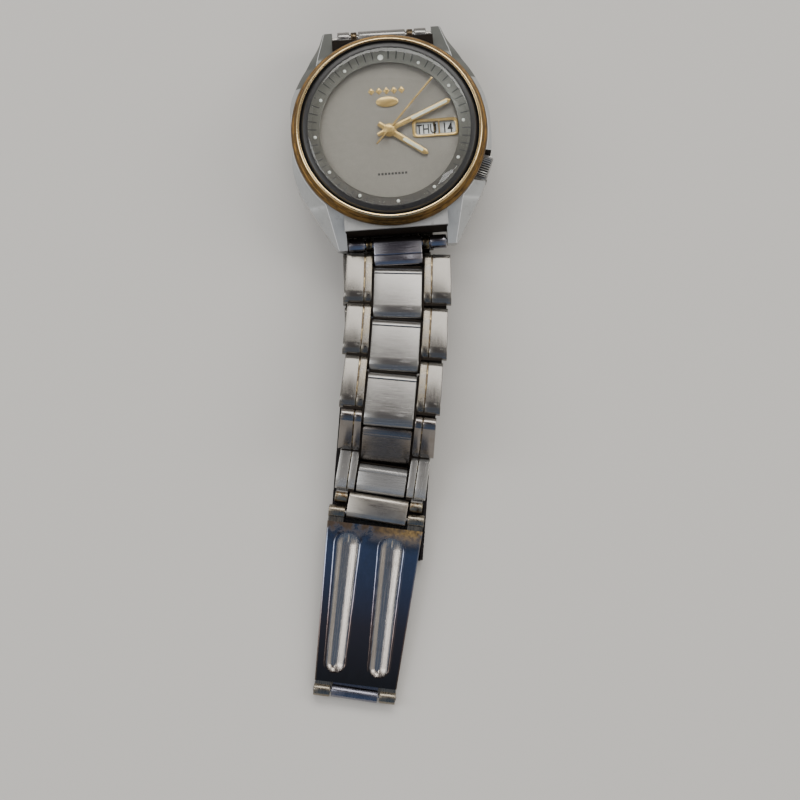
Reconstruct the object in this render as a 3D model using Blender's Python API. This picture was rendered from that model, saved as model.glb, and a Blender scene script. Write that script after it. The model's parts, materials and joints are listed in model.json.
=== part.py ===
"""Two-tone day-date wristwatch on a folded-link bracelet with a three-fold clasp.

The head lies dial up on its 12 o'clock bracelet half, which is folded under it. The 6 o'clock half
runs out in front of the head, steps down over the open clasp and ends in the grooved inner blade.
Links are placed by chains of pin frames: a link's own -Y runs towards the next pin, its +Z is the
outer side of the bracelet and its X is the hinge axis.
"""
import math

import bmesh
import bpy
from mathutils import Matrix, Vector

MM = 0.001
GAP = 0.3 * MM                      # clearance that neighbouring pieces keep

# Head, measured from the flat of the case back
HEAD_CENTRE = Vector((-1.9, 46.7, 4.9)) * MM
HEAD_TURN = math.radians(4.3)
CASE_BOTTOM = 1.2 * MM
CASE_TOP = 7.6 * MM
CASE_HALF_WIDTH = 18.15 * MM
BORE_R = 15.0 * MM
LUG_GAP = 18.0 * MM
LUG_TIP_Y = 20.3 * MM
LUG_TIP_TOP = 3.3 * MM
BAR_Y = 19.4 * MM
BAR_Z = 2.1 * MM
BEZEL_R = 17.5 * MM
CRYSTAL_R = 14.95 * MM
CRYSTAL_LOW = 8.7 * MM
CRYSTAL_TOP = 10.8 * MM
DIAL_R = 14.2 * MM
DIAL_LOW = 6.3 * MM
DIAL_TOP = 6.7 * MM
CHAPTER_IN_R = 12.35 * MM
CROWN_ANGLE = math.radians(-23.5)
CROWN_R = 2.4 * MM
CROWN_START = 16.9 * MM
CROWN_END = 19.1 * MM
CROWN_Z = 4.2 * MM
HOUR_ANGLE = math.radians(-126)     # turned from 12 o'clock, counter-clockwise positive
MINUTE_ANGLE = math.radians(-67)
SECOND_ANGLE = math.radians(-43)
HAND_THICK = 0.2 * MM

# Bracelet
PITCH = 10.1 * MM
LAST_PITCH = 8.0 * MM
END_PITCH = 3.1 * MM
LINK_R = 1.25 * MM                  # half the thickness, and the radius of each rolled end
PIN_R = 0.45 * MM
BORE_IN_LINK_R = 0.95 * MM
RIVET_Y = -4.6 * MM
CENTRE_HALF = 4.3 * MM
SIDE_IN = CENTRE_HALF + 0.35 * MM
NEXT_GAP = 0.35 * MM
HALF_WIDTHS = [9.3, 8.95, 8.6, 8.3, 8.0, 7.85]        # mm, at each pin from the head outwards
FRONT_HEADINGS = [-3.3, 1.2, 3.6, 5.2, 6.4, 8.3]       # degrees, clockwise of straight down
FRONT_DIPS = [0, -11, -11, -11, 56, 1]                 # degrees, downhill positive
BACK_HEADINGS = [-3.6, -2.2, -1.4, -1.0, -1.0, -1.0, -0.8]
BACK_DIPS = [95, 163.9, 180, 180, 180, 180, 180]

# Clasp
CONNECTOR_PITCH = 2.5 * MM
CONNECTOR_HEADING, CONNECTOR_DIP = 9.5, 2.0
CONNECTOR_HALF = 5.3 * MM
CONNECTOR_R = 1.05 * MM
BLADE_LENGTH = 31.5 * MM
BLADE_HEADING, BLADE_DIP = 7.0, 5.3
BLADE_HALF_TOP = 8.5 * MM
BLADE_HALF_FOOT = 7.25 * MM
BLADE_THICK = 0.6 * MM
KNUCKLE_R = 1.1 * MM
GROOVE_DEEP = 0.25 * MM
FOLD_LENGTH = 25.5 * MM
FOLD_HEADING, FOLD_DIP = 188.5, -1.0
FOLD_HALF = 5.5 * MM
FOLD_KNUCKLE_HALF = 4.1 * MM
FOLD_LOW, FOLD_HIGH = -0.75 * MM, -0.2 * MM
COVER_HEADING = 184.2
COVER_AHEAD = 30.4 * MM
COVER_BEHIND = 1.2 * MM
COVER_HALF = 8.0 * MM
COVER_WALL = 0.6 * MM
COVER_LOW, COVER_FLOOR, COVER_RIM = -1.75 * MM, -1.15 * MM, 1.05 * MM

STEEL = ((0.60, 0.58, 0.56), 0.3, 1.0)
GOLD = ((0.72, 0.52, 0.24), 0.3, 1.0)
BRASS = ((0.78, 0.60, 0.32), 0.35, 1.0)
RUBBER = ((0.02, 0.02, 0.02), 0.7, 0.0)
GLASS = ((0.90, 0.95, 0.95), 0.05, 0.0)
DIAL_GREY = ((0.30, 0.29, 0.27), 0.5, 0.2)
WHITE = ((0.85, 0.85, 0.82), 0.5, 0.0)
PLASTIC = ((0.80, 0.78, 0.70), 0.5, 0.0)


# ---------------------------------------------------------------- shape helpers
def clear_scene():
    for obj in list(bpy.data.objects):
        bpy.data.objects.remove(obj, do_unlink=True)


def empty(name, matrix, parent=None):
    holder = bpy.data.objects.new(name, None)
    bpy.context.scene.collection.objects.link(holder)
    holder.empty_display_size = 2 * MM
    holder.parent = parent
    holder.matrix_local = matrix
    return holder


def finish_mesh(bm, name):
    bmesh.ops.recalc_face_normals(bm, faces=bm.faces)
    mesh = bpy.data.meshes.new(name)
    bm.to_mesh(mesh)
    bm.free()
    return mesh


def node(name, mesh, look, parent, matrix=None):
    """One sub-part: a mesh object with its own material, placed in its parent's frame."""
    obj = bpy.data.objects.new(name, mesh)
    bpy.context.scene.collection.objects.link(obj)
    obj.parent = parent
    obj.matrix_local = matrix or Matrix.Identity(4)
    colour, roughness, metallic = look
    material = bpy.data.materials.new(name)
    material.use_nodes = True
    shader = material.node_tree.nodes["Principled BSDF"]
    shader.inputs["Base Color"].default_value = (*colour, 1)
    shader.inputs["Roughness"].default_value = roughness
    shader.inputs["Metallic"].default_value = metallic
    mesh.materials.append(material)
    mesh.shade_smooth()
    mesh.set_sharp_from_angle(angle=math.radians(30))
    return obj


def prism(outline, low, high, axis="Z"):
    """A closed solid: the outline extruded between two planes across the named axis."""
    place = {
        "Z": lambda u, v, w: (u, v, w),
        "X": lambda u, v, w: (w, u, v),
    }[axis]
    bm = bmesh.new()
    base = [bm.verts.new(place(u, v, low)) for u, v in outline]
    face = bm.faces.new(base)
    made = bmesh.ops.extrude_face_region(bm, geom=[face])["geom"]
    moved = [v for v in made if isinstance(v, bmesh.types.BMVert)]
    shift = Vector(place(0, 0, high - low))
    bmesh.ops.translate(bm, verts=moved, vec=shift)
    return finish_mesh(bm, "prism")


def turned(profile, segments):
    """A solid of revolution about Z from a closed list of (radius, height) corners."""
    bm = bmesh.new()
    rings = []
    for radius, height in profile:
        if radius < 1e-9:
            rings.append([bm.verts.new((0, 0, height))])
            continue
        ring = []
        for step in range(segments):
            turn = 2 * math.pi * step / segments
            ring.append(bm.verts.new((radius * math.cos(turn), radius * math.sin(turn), height)))
        rings.append(ring)
    for first, second in zip(rings, rings[1:] + rings[:1]):
        if len(first) == 1 and len(second) == 1:
            continue
        for step in range(segments):
            after = (step + 1) % segments
            corners = [first[step % len(first)], first[after % len(first)],
                       second[after % len(second)], second[step % len(second)]]
            bm.faces.new(list(dict.fromkeys(corners)))
    return finish_mesh(bm, "turned")


def rod(radius, start, end, segments=12):
    """A plain cylinder from one point to another."""
    start, end = Vector(start), Vector(end)
    along = end - start
    bm = bmesh.new()
    bmesh.ops.create_cone(bm, cap_ends=True, segments=segments, radius1=radius, radius2=radius,
                          depth=along.length)
    turn = along.to_track_quat("Z", "Y").to_matrix().to_4x4()
    bmesh.ops.transform(bm, verts=bm.verts, matrix=Matrix.Translation((start + end) / 2) @ turn)
    return finish_mesh(bm, "rod")


def box(low, high):
    bm = bmesh.new()
    bmesh.ops.create_cube(bm, size=1)
    low, high = Vector(low), Vector(high)
    size = high - low
    bmesh.ops.transform(bm, verts=bm.verts,
                        matrix=Matrix.Translation((low + high) / 2) @ Matrix.Diagonal((*size, 1)))
    return finish_mesh(bm, "box")


def combine(target, mesh, operation, matrix=None):
    """Cut a mesh out of a sub-part, or join one to it, with a Boolean on a hidden guide."""
    guide = bpy.data.objects.new(f"{target.name}_guide", mesh)
    bpy.context.scene.collection.objects.link(guide)
    guide.parent = target
    guide.matrix_local = matrix or Matrix.Identity(4)
    guide.hide_render = True
    guide.display_type = "WIRE"
    modifier = target.modifiers.new(operation.lower(), "BOOLEAN")
    modifier.operation = operation
    modifier.solver = "EXACT"
    modifier.object = guide


def stadium(start, end, radius, steps=6):
    """Side outline of a slab along Y with a half-round at each end; start lies above end."""
    outline = []
    for step in range(steps + 1):
        turn = -math.pi / 2 + math.pi * step / steps
        outline.append((start + radius * math.cos(turn), radius * math.sin(turn)))
    for step in range(steps + 1):
        turn = math.pi / 2 + math.pi * step / steps
        outline.append((end + radius * math.cos(turn), radius * math.sin(turn)))
    return outline


def circle(radius, segments, centre=(0, 0)):
    turns = [2 * math.pi * step / segments for step in range(segments)]
    return [(centre[0] + radius * math.cos(t), centre[1] + radius * math.sin(t)) for t in turns]


# ---------------------------------------------------------------- chain of pin frames
def pin_frame(pin, heading, dip):
    """World matrix at a pin, for a link that leaves it at this heading and downhill angle."""
    turn, fall = math.radians(heading), math.radians(dip)
    level = Vector((-math.sin(turn), -math.cos(turn), 0))
    forward = math.cos(fall) * level - math.sin(fall) * Vector((0, 0, 1))
    outer = math.sin(fall) * level + math.cos(fall) * Vector((0, 0, 1))
    across = outer.cross(forward)
    frame = Matrix((across, -forward, outer)).transposed().to_4x4()
    return Matrix.Translation(pin) @ frame


def far_pin(matrix, pitch):
    return matrix @ Vector((0, -pitch, 0))


def pin_holder(name, pin, heading, dip, parent):
    """An empty on the hinge axis, parented to the previous link's empty."""
    world = pin_frame(pin, heading, dip)
    base = parent["world"] if parent else Matrix.Identity(4)
    holder = empty(name, base.inverted() @ world, parent["empty"] if parent else None)
    return {"empty": holder, "world": world}


# ---------------------------------------------------------------- head
def case_outline():
    """Barrel-shaped case with four lugs, seen from above, counter-clockwise."""
    gap = LUG_GAP / 2
    notch = 17.75 * MM
    quarter = [(CASE_HALF_WIDTH, 2.5 * MM), (17.5 * MM, 6.5 * MM), (16.2 * MM, 10.4 * MM),
               (14.2 * MM, 14.2 * MM), (11.0 * MM, LUG_TIP_Y - 0.4 * MM),
               (10.6 * MM, LUG_TIP_Y), (gap, LUG_TIP_Y), (gap, notch)]
    upper_left = [(-x, y) for x, y in reversed(quarter)]
    lower_left = [(-x, -y) for x, y in quarter]
    lower_right = [(x, -y) for x, y in reversed(quarter)]
    return quarter + upper_left + lower_left + lower_right


def crown_matrix():
    """Frame with +Z along the crown's axis, pointing out of the case."""
    out = Vector((math.cos(CROWN_ANGLE), math.sin(CROWN_ANGLE), 0))
    turn = out.to_track_quat("Z", "Y").to_matrix().to_4x4()
    return Matrix.Translation((0, 0, CROWN_Z)) @ turn


def build_case(head):
    case = node("case_middle", prism(case_outline(), CASE_BOTTOM, CASE_TOP), STEEL, head)
    combine(case, rod(BORE_R, (0, 0, 0), (0, 0, 9 * MM), 64), "DIFFERENCE")
    slope_start = 14.0 * MM
    for side in (-1, 1):
        wedge = [(side * slope_start, CASE_TOP), (side * (LUG_TIP_Y + MM), LUG_TIP_TOP - 0.6 * MM),
                 (side * (LUG_TIP_Y + MM), CASE_TOP + MM), (side * slope_start, CASE_TOP + MM)]
        inside, wide = LUG_GAP / 2 - 0.1 * MM, CASE_HALF_WIDTH + MM
        for low, high in ((-wide, -inside), (inside, wide)):
            combine(case, prism(wedge, low, high, "X"), "DIFFERENCE")
        bar = rod(0.65 * MM, (-9.8 * MM, side * BAR_Y, BAR_Z), (9.8 * MM, side * BAR_Y, BAR_Z))
        combine(case, bar, "DIFFERENCE")
    recess = rod(CROWN_R + 0.5 * MM, (0, 0, CROWN_START - GAP), (0, 0, 24 * MM), 24)
    combine(case, recess, "DIFFERENCE", crown_matrix())
    out = Vector((math.cos(CROWN_ANGLE), math.sin(CROWN_ANGLE), 0))
    across = Vector((-out.y, out.x, 0)) * (CROWN_R + GAP)
    near, far = out * (CROWN_START - GAP), out * (CROWN_END + 3 * MM)
    notch = [near - across, far - across, far + across, near + across]
    cut = prism([(p.x, p.y) for p in notch], CROWN_Z, CASE_TOP + MM)
    combine(case, cut, "DIFFERENCE")
    combine(case, rod(0.9 * MM, (0, 0, 13 * MM), (0, 0, 20 * MM)), "DIFFERENCE", crown_matrix())

    bezel = [(15.75, 7.9), (17.5, 7.9), (17.5, 8.6), (16.6, 10.1), (16.2, 10.2), (15.75, 9.9)]
    node("bezel", turned([(r * MM, z * MM) for r, z in bezel], 64), GOLD, head)
    gasket = [(15.2, 8.1), (15.5, 8.1), (15.5, 9.8), (15.2, 9.8)]
    node("crystal_gasket", turned([(r * MM, z * MM) for r, z in gasket], 48), RUBBER, head)
    crystal = [(0, CRYSTAL_LOW), (CRYSTAL_R, CRYSTAL_LOW), (CRYSTAL_R, CRYSTAL_TOP - 0.6 * MM),
               (CRYSTAL_R - 0.6 * MM, CRYSTAL_TOP - 0.1 * MM), (0, CRYSTAL_TOP)]
    node("crystal", turned(crystal, 48), GLASS, head)

    back = [(0, 0), (13.2, 0), (13.9, 0.5), (14.7, 0.9), (14.7, 1.5), (0, 1.5)]
    node("case_back", turned([(r * MM, z * MM) for r, z in back], 48), STEEL, head)
    seal = [(14.2, 1.8), (14.7, 1.8), (14.7, 2.3), (14.2, 2.3)]
    node("case_back_gasket", turned([(r * MM, z * MM) for r, z in seal], 48), RUBBER, head)
    for name, side in (("spring_bar_12", 1), ("spring_bar_6", -1)):
        at = Matrix.Translation((0, side * BAR_Y, BAR_Z))
        node(name, rod(PIN_R, (-9.4 * MM, 0, 0), (9.4 * MM, 0, 0)), STEEL, head, at)


def build_dial(head):
    ring = [(CHAPTER_IN_R, 7.5 * MM), (14.7 * MM, 7.5 * MM), (14.7 * MM, 8.35 * MM),
            (CHAPTER_IN_R, 7.9 * MM)]
    node("chapter_ring", turned(ring, 64), DIAL_GREY, head)
    dial = [(0.8 * MM, DIAL_LOW), (DIAL_R, DIAL_LOW), (DIAL_R, DIAL_TOP), (0.8 * MM, DIAL_TOP)]
    face = node("dial", turned(dial, 64), DIAL_GREY, head)
    for low, high in ((4.9, 8.6), (9.0, 11.7)):
        window = box((low * MM, -1.1 * MM, 6 * MM), (high * MM, 1.1 * MM, 7 * MM))
        combine(face, window, "DIFFERENCE")
    low = DIAL_TOP + 0.05 * MM
    frame_outline = rounded_box((4.1 * MM, -1.6 * MM), (12.2 * MM, 1.6 * MM), 0.5 * MM)
    frame = node("day_date_frame", prism(frame_outline, low, low + 0.25 * MM), GOLD, head)
    for start, end in ((4.8, 8.7), (9.05, 11.6)):
        window = box((start * MM, -1.0 * MM, 6 * MM), (end * MM, 1.0 * MM, 8 * MM))
        combine(frame, window, "DIFFERENCE")
    lozenge = [(-1.9 * MM, 5.4 * MM), (0, 4.5 * MM), (1.9 * MM, 5.4 * MM), (0, 6.3 * MM)]
    node("emblem", prism(lozenge, low, low + 0.25 * MM), GOLD, head)


def rounded_box(low, high, radius, steps=4):
    """Outline of a rectangle with rounded corners, counter-clockwise."""
    corners = [(high[0] - radius, high[1] - radius, 0), (low[0] + radius, high[1] - radius, 90),
               (low[0] + radius, low[1] + radius, 180), (high[0] - radius, low[1] + radius, 270)]
    outline = []
    for x, y, start in corners:
        for step in range(steps + 1):
            turn = math.radians(start + 90 * step / steps)
            outline.append((x + radius * math.cos(turn), y + radius * math.sin(turn)))
    return outline


def hand_outline(length, tail, half_width):
    """A baton hand along +Y with a pointed tip."""
    return [(-half_width, -tail), (half_width, -tail), (half_width, length - half_width),
            (0, length), (-half_width, length - half_width)]


def build_hands(head):
    """Three hands on one axis: length, tail, half width, height, hub radius, hole radius in mm."""
    specs = (("hour_hand", HOUR_ANGLE, 8.2, 2.3, 0.75, 7.15, 1.2, 0.6),
             ("minute_hand", MINUTE_ANGLE, 12.2, 2.3, 0.65, 7.55, 1.1, 0.3),
             ("second_hand", SECOND_ANGLE, 12.2, 3.6, 0.16, 8.0, 0.8, 0))
    for name, angle, length, tail, half, low, hub_r, hole_r in specs:
        outline = hand_outline(length * MM, tail * MM, half * MM)
        mesh = prism(outline, low * MM, low * MM + HAND_THICK)
        hand = node(name, mesh, GOLD, head, Matrix.Rotation(angle, 4, "Z"))
        hub = prism(circle(hub_r * MM, 20), (low - 0.02) * MM, (low + 0.22) * MM)
        combine(hand, hub, "UNION")
        if hole_r:
            hole = rod(hole_r * MM, (0, 0, DIAL_LOW), (0, 0, CRYSTAL_LOW))
            combine(hand, hole, "DIFFERENCE")


def build_movement(head):
    def plain(name, corners, look, segments=40, at=(0, 0)):
        profile = [(r * MM, z * MM) for r, z in corners]
        place = Matrix.Translation((at[0] * MM, at[1] * MM, 0))
        return node(name, turned(profile, segments), look, head, place)

    holder = plain("movement_holder", [(13.4, 3.4), (14.6, 3.4), (14.6, 6.0), (13.4, 6.0)], PLASTIC)
    combine(holder, rod(0.9 * MM, (0, 0, 10 * MM), (0, 0, 16 * MM)), "DIFFERENCE", crown_matrix())
    plate = plain("main_plate", [(0.8, 4.45), (13.0, 4.45), (13.0, 5.3), (0.8, 5.3)], BRASS)
    slot = rod(0.9 * MM, (0, 0, 8 * MM), (0, 0, 16 * MM))
    combine(plate, slot, "DIFFERENCE", crown_matrix())
    plain("date_disc", [(8.3, 5.65), (12.2, 5.65), (12.2, 5.95), (8.3, 5.95)], WHITE)
    plain("day_disc", [(0.8, 5.65), (7.9, 5.65), (7.9, 5.95), (0.8, 5.95)], WHITE)
    bridge = plain("train_bridge", [(0, 2.65), (9.8, 2.65), (9.8, 3.05), (0, 3.05)], STEEL)
    combine(bridge, rod(4.9 * MM, (6 * MM, -5.5 * MM, 2 * MM), (6 * MM, -5.5 * MM, 4 * MM), 32),
            "DIFFERENCE")
    plain("mainspring_barrel", [(0, 3.35), (5.0, 3.35), (5.0, 4.15), (0, 4.15)], BRASS, 40,
          (-5.5, 5.5))
    arbor = [(0, 3.35), (2.4, 3.35), (2.4, 3.65), (0.3, 3.65), (0.3, 7.3), (0, 7.3)]
    plain("centre_wheel", arbor, BRASS, 24)
    balance = plain("balance_wheel", [(3.4, 3.3), (4.2, 3.3), (4.2, 3.6), (3.4, 3.6)], BRASS, 32,
                    (6, -5.5))
    arm = box((-3.8 * MM, -0.3 * MM, 3.32 * MM), (3.8 * MM, 0.3 * MM, 3.58 * MM))
    combine(balance, arm, "UNION")
    combine(balance, rod(0.6 * MM, (0, 0, 3.1 * MM), (0, 0, 4.1 * MM)), "UNION")
    weight = [(r * MM, z * MM) for r, z in
              ((0, 1.8), (12.6, 1.8), (12.6, 3.0), (10.6, 3.0), (10.6, 2.3), (0, 2.3))]
    rotor = node("rotor", turned(weight, 48), STEEL, head)
    away = box((-14 * MM, 1.2 * MM, 1 * MM), (14 * MM, 14 * MM, 4 * MM))
    combine(rotor, away, "DIFFERENCE")


def build_crown(head):
    """The stem slides out on its axis; the crown turns on the same axis."""
    axis = empty("crown_axis", crown_matrix(), head)
    node("winding_stem", rod(0.45 * MM, (0, 0, 9.5 * MM), (0, 0, CROWN_START - GAP)), STEEL, axis)
    points = []
    teeth = 20
    for step in range(2 * teeth):
        radius = CROWN_R - (0 if step % 2 else 0.18 * MM)
        turn = math.pi * step / teeth
        points.append((radius * math.cos(turn), radius * math.sin(turn)))
    node("crown", prism(points, CROWN_START, CROWN_END), GOLD, axis)


# ---------------------------------------------------------------- bracelet
def side_link(inner, outer_near, outer_far, start, end):
    """One outer link: a slab with rolled ends whose outer edge tapers from near to far pin."""
    mesh = prism(stadium(start, end, LINK_R), inner, outer_near, "X")
    for vertex in mesh.vertices:
        if vertex.co.x > (inner + outer_near) / 2:
            share = min(1, max(0, -vertex.co.y / PITCH))
            vertex.co.x += share * (outer_far - outer_near)
    return mesh


def mirrored(mesh):
    copy = mesh.copy()
    copy.transform(Matrix.Diagonal((-1, 1, 1, 1)))
    copy.flip_normals()
    return copy


def build_row(name, holder, near, far, pitch):
    """A link row: two outer links on their hinge pin and rivet, round a centre link."""
    parent = holder["empty"]
    end = -(pitch - 2 * LINK_R - NEXT_GAP)
    right = side_link(SIDE_IN, near, far, 0, end)
    sides = node(f"{name}_sides", right, STEEL, parent)
    reach = SIDE_IN + 0.8 * MM
    combine(sides, rod(PIN_R, (-reach, 0, 0), (reach, 0, 0)), "UNION")
    rivet = RIVET_Y * pitch / PITCH
    combine(sides, rod(PIN_R, (-reach, rivet, 0), (reach, rivet, 0)), "UNION")
    combine(sides, mirrored(right), "UNION")
    start = -(2 * LINK_R + NEXT_GAP)
    centre_mesh = prism(stadium(start, -pitch, LINK_R), -CENTRE_HALF, CENTRE_HALF, "X")
    centre = node(f"{name}_centre", centre_mesh, STEEL, parent)
    wide = CENTRE_HALF + MM
    for y, radius in ((rivet, PIN_R + GAP), (-pitch, BORE_IN_LINK_R)):
        combine(centre, rod(radius, (-wide, y, 0), (wide, y, 0)), "DIFFERENCE")


def build_last_row(name, holder, near, far, pitch):
    """The row at the clasp: shorter links, and a tube on each side for the connector's pin."""
    parent = holder["empty"]
    end = -(pitch - CONNECTOR_R - GAP - LINK_R)
    right = side_link(SIDE_IN, near, far, 0, end)
    sides = node(f"{name}_sides", right, STEEL, parent)
    reach = SIDE_IN + 0.8 * MM
    rivet = RIVET_Y * pitch / PITCH
    for y in (0, rivet):
        combine(sides, rod(PIN_R, (-reach, y, 0), (reach, y, 0)), "UNION")
    combine(sides, mirrored(right), "UNION")
    for side in (-1, 1):
        low, high = sorted((side * (CONNECTOR_HALF + GAP), side * (far - 0.05 * MM)))
        combine(sides, tube(0.95 * MM, low, high, -pitch), "UNION")
        web = box((low + 0.05 * MM, -pitch, -0.45 * MM), (high - 0.05 * MM, end, 0.45 * MM))
        combine(sides, web, "UNION")
    reach = far - MM
    combine(sides, rod(0.35 * MM, (-reach, -pitch, 0), (reach, -pitch, 0)), "UNION")
    start = -(2 * LINK_R + NEXT_GAP)
    centre_mesh = prism(stadium(start, end, LINK_R), -CENTRE_HALF, CENTRE_HALF, "X")
    centre = node(f"{name}_centre", centre_mesh, STEEL, parent)
    wide = CENTRE_HALF + MM
    combine(centre, rod(PIN_R + GAP, (-wide, rivet, 0), (wide, rivet, 0)), "DIFFERENCE")


def build_end_link(name, holder):
    """The end link: a barrel on the spring bar between the lugs and a tongue for the first row."""
    wide = LUG_GAP / 2 - 0.2 * MM
    barrel = prism(circle(LINK_R, 16), -wide, wide, "X")
    link = node(name, barrel, STEEL, holder["empty"])
    tongue = prism(stadium(-0.1 * MM, -END_PITCH, LINK_R), -CENTRE_HALF, CENTRE_HALF, "X")
    combine(link, tongue, "UNION")
    reach = LUG_GAP
    combine(link, rod(PIN_R + GAP, (-reach, 0, 0), (reach, 0, 0)), "DIFFERENCE")
    far = rod(BORE_IN_LINK_R, (-reach, -END_PITCH, 0), (reach, -END_PITCH, 0))
    combine(link, far, "DIFFERENCE")


def build_half(prefix, head_bar, headings, dips, pitches, parent):
    """A bracelet half as a chain of hinged rows; returns the last row's holder and far pin.

    A shorter pitch marks the row that meets the clasp's connector.
    """
    holder = pin_holder(f"{prefix}_end_axis", head_bar, headings[0], dips[0], parent)
    build_end_link(f"{prefix}_end_link", holder)
    pin = far_pin(holder["world"], END_PITCH)
    for row, pitch in enumerate(pitches, 1):
        name = f"{prefix}_row_{row}"
        holder = pin_holder(f"{name}_axis", pin, headings[row], dips[row], holder)
        near = HALF_WIDTHS[min(row, len(HALF_WIDTHS) - 1) - 1] * MM
        far = HALF_WIDTHS[min(row + 1, len(HALF_WIDTHS)) - 1] * MM
        build = build_row if pitch == PITCH else build_last_row
        build(name, holder, near, far, pitch)
        pin = far_pin(holder["world"], pitch)
    return holder, pin


# ---------------------------------------------------------------- clasp
def tube(radius, low, high, y=0, z=0):
    return prism(circle(radius, 14, (y, z)), low, high, "X")


def build_connector(pin, parent):
    """The short end piece between the last row's tubes and the inner blade's knuckles."""
    holder = pin_holder("connector_axis", pin, CONNECTOR_HEADING, CONNECTOR_DIP, parent)
    half = CONNECTOR_HALF
    body = prism(stadium(0, -CONNECTOR_PITCH, CONNECTOR_R), -half, half, "X")
    piece = node("connector", body, STEEL, holder["empty"])
    for y in (0, -CONNECTOR_PITCH):
        combine(piece, rod(0.65 * MM, (-9 * MM, y, 0), (9 * MM, y, 0)), "DIFFERENCE")
    return holder, far_pin(holder["world"], CONNECTOR_PITCH)


def build_inner_blade(pin, parent):
    """The grooved blade next to the wrist, from the connector's pin to the middle hinge."""
    holder = pin_holder("inner_blade_axis", pin, BLADE_HEADING, BLADE_DIP, parent)
    top, foot = -(KNUCKLE_R + 0.7 * MM), -BLADE_LENGTH + KNUCKLE_R + 0.5 * MM
    outline = [(-BLADE_HALF_FOOT, foot), (BLADE_HALF_FOOT, foot), (BLADE_HALF_TOP, top),
               (-BLADE_HALF_TOP, top)]
    blade = node("inner_blade", prism(outline, 0, BLADE_THICK), STEEL, holder["empty"])
    for side in (-1, 1):
        low, high = sorted((side * (CONNECTOR_HALF + GAP), side * BLADE_HALF_TOP))
        combine(blade, tube(KNUCKLE_R, low, high), "UNION")
        strap = box((low, top - MM, 0.02 * MM), (high, -0.1 * MM, BLADE_THICK - 0.02 * MM))
        combine(blade, strap, "UNION")
        low, high = sorted((side * (FOLD_KNUCKLE_HALF + GAP), side * BLADE_HALF_FOOT))
        combine(blade, tube(KNUCKLE_R, low, high, -BLADE_LENGTH), "UNION")
        strap = box((low, -BLADE_LENGTH + 0.1 * MM, 0.02 * MM),
                    (high, foot + MM, BLADE_THICK - 0.02 * MM))
        combine(blade, strap, "UNION")
    for side in (-1, 1):
        middle = side * 4.0 * MM
        groove = rounded_box((middle - 2.0 * MM, foot + 1.6 * MM), (middle + 2.0 * MM, top - MM),
                             1.9 * MM)
        cut = prism(groove, BLADE_THICK - GROOVE_DEEP, 2 * MM)
        combine(blade, cut, "DIFFERENCE")
    for y in (0, -BLADE_LENGTH):
        combine(blade, rod(0.65 * MM, (-9 * MM, y, 0), (9 * MM, y, 0)), "DIFFERENCE")
    upper = Matrix.Identity(4)
    reach = BLADE_HALF_TOP - 0.15 * MM
    node("connector_pin", rod(0.35 * MM, (-reach, 0, 0), (reach, 0, 0)), STEEL,
         holder["empty"], upper)
    lower = Matrix.Translation((0, -BLADE_LENGTH, 0))
    reach = BLADE_HALF_FOOT + 0.15 * MM
    node("blade_hinge_pin", rod(0.35 * MM, (-reach, 0, 0), (reach, 0, 0)), STEEL,
         holder["empty"], lower)
    return holder, far_pin(holder["world"], BLADE_LENGTH)


def build_middle_blade(pin, parent):
    """The narrow middle blade, folded back under the inner blade, from hinge to cover."""
    holder = pin_holder("middle_blade_axis", pin, FOLD_HEADING, FOLD_DIP, parent)
    outline = [(-FOLD_HALF, -FOLD_LENGTH + 2.0 * MM), (FOLD_HALF, -FOLD_LENGTH + 2.0 * MM),
               (FOLD_HALF, -2.0 * MM), (-FOLD_HALF, -2.0 * MM)]
    blade = node("middle_blade", prism(outline, FOLD_LOW, FOLD_HIGH), STEEL, holder["empty"])
    for y, half, radius in ((0, FOLD_KNUCKLE_HALF, KNUCKLE_R), (-FOLD_LENGTH, 3.0 * MM, 0.9 * MM)):
        combine(blade, tube(radius, -half, half, y), "UNION")
        inward = -1 if y == 0 else 1
        low_y, high_y = sorted((y, y + inward * 3.0 * MM))
        strap = box((-half + 0.05 * MM, low_y, FOLD_LOW + 0.02 * MM),
                    (half - 0.05 * MM, high_y, FOLD_HIGH - 0.02 * MM))
        combine(blade, strap, "UNION")
    for y in (0, -FOLD_LENGTH):
        combine(blade, rod(0.6 * MM, (-9 * MM, y, 0), (9 * MM, y, 0)), "DIFFERENCE")
    return holder, far_pin(holder["world"], FOLD_LENGTH)


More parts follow.
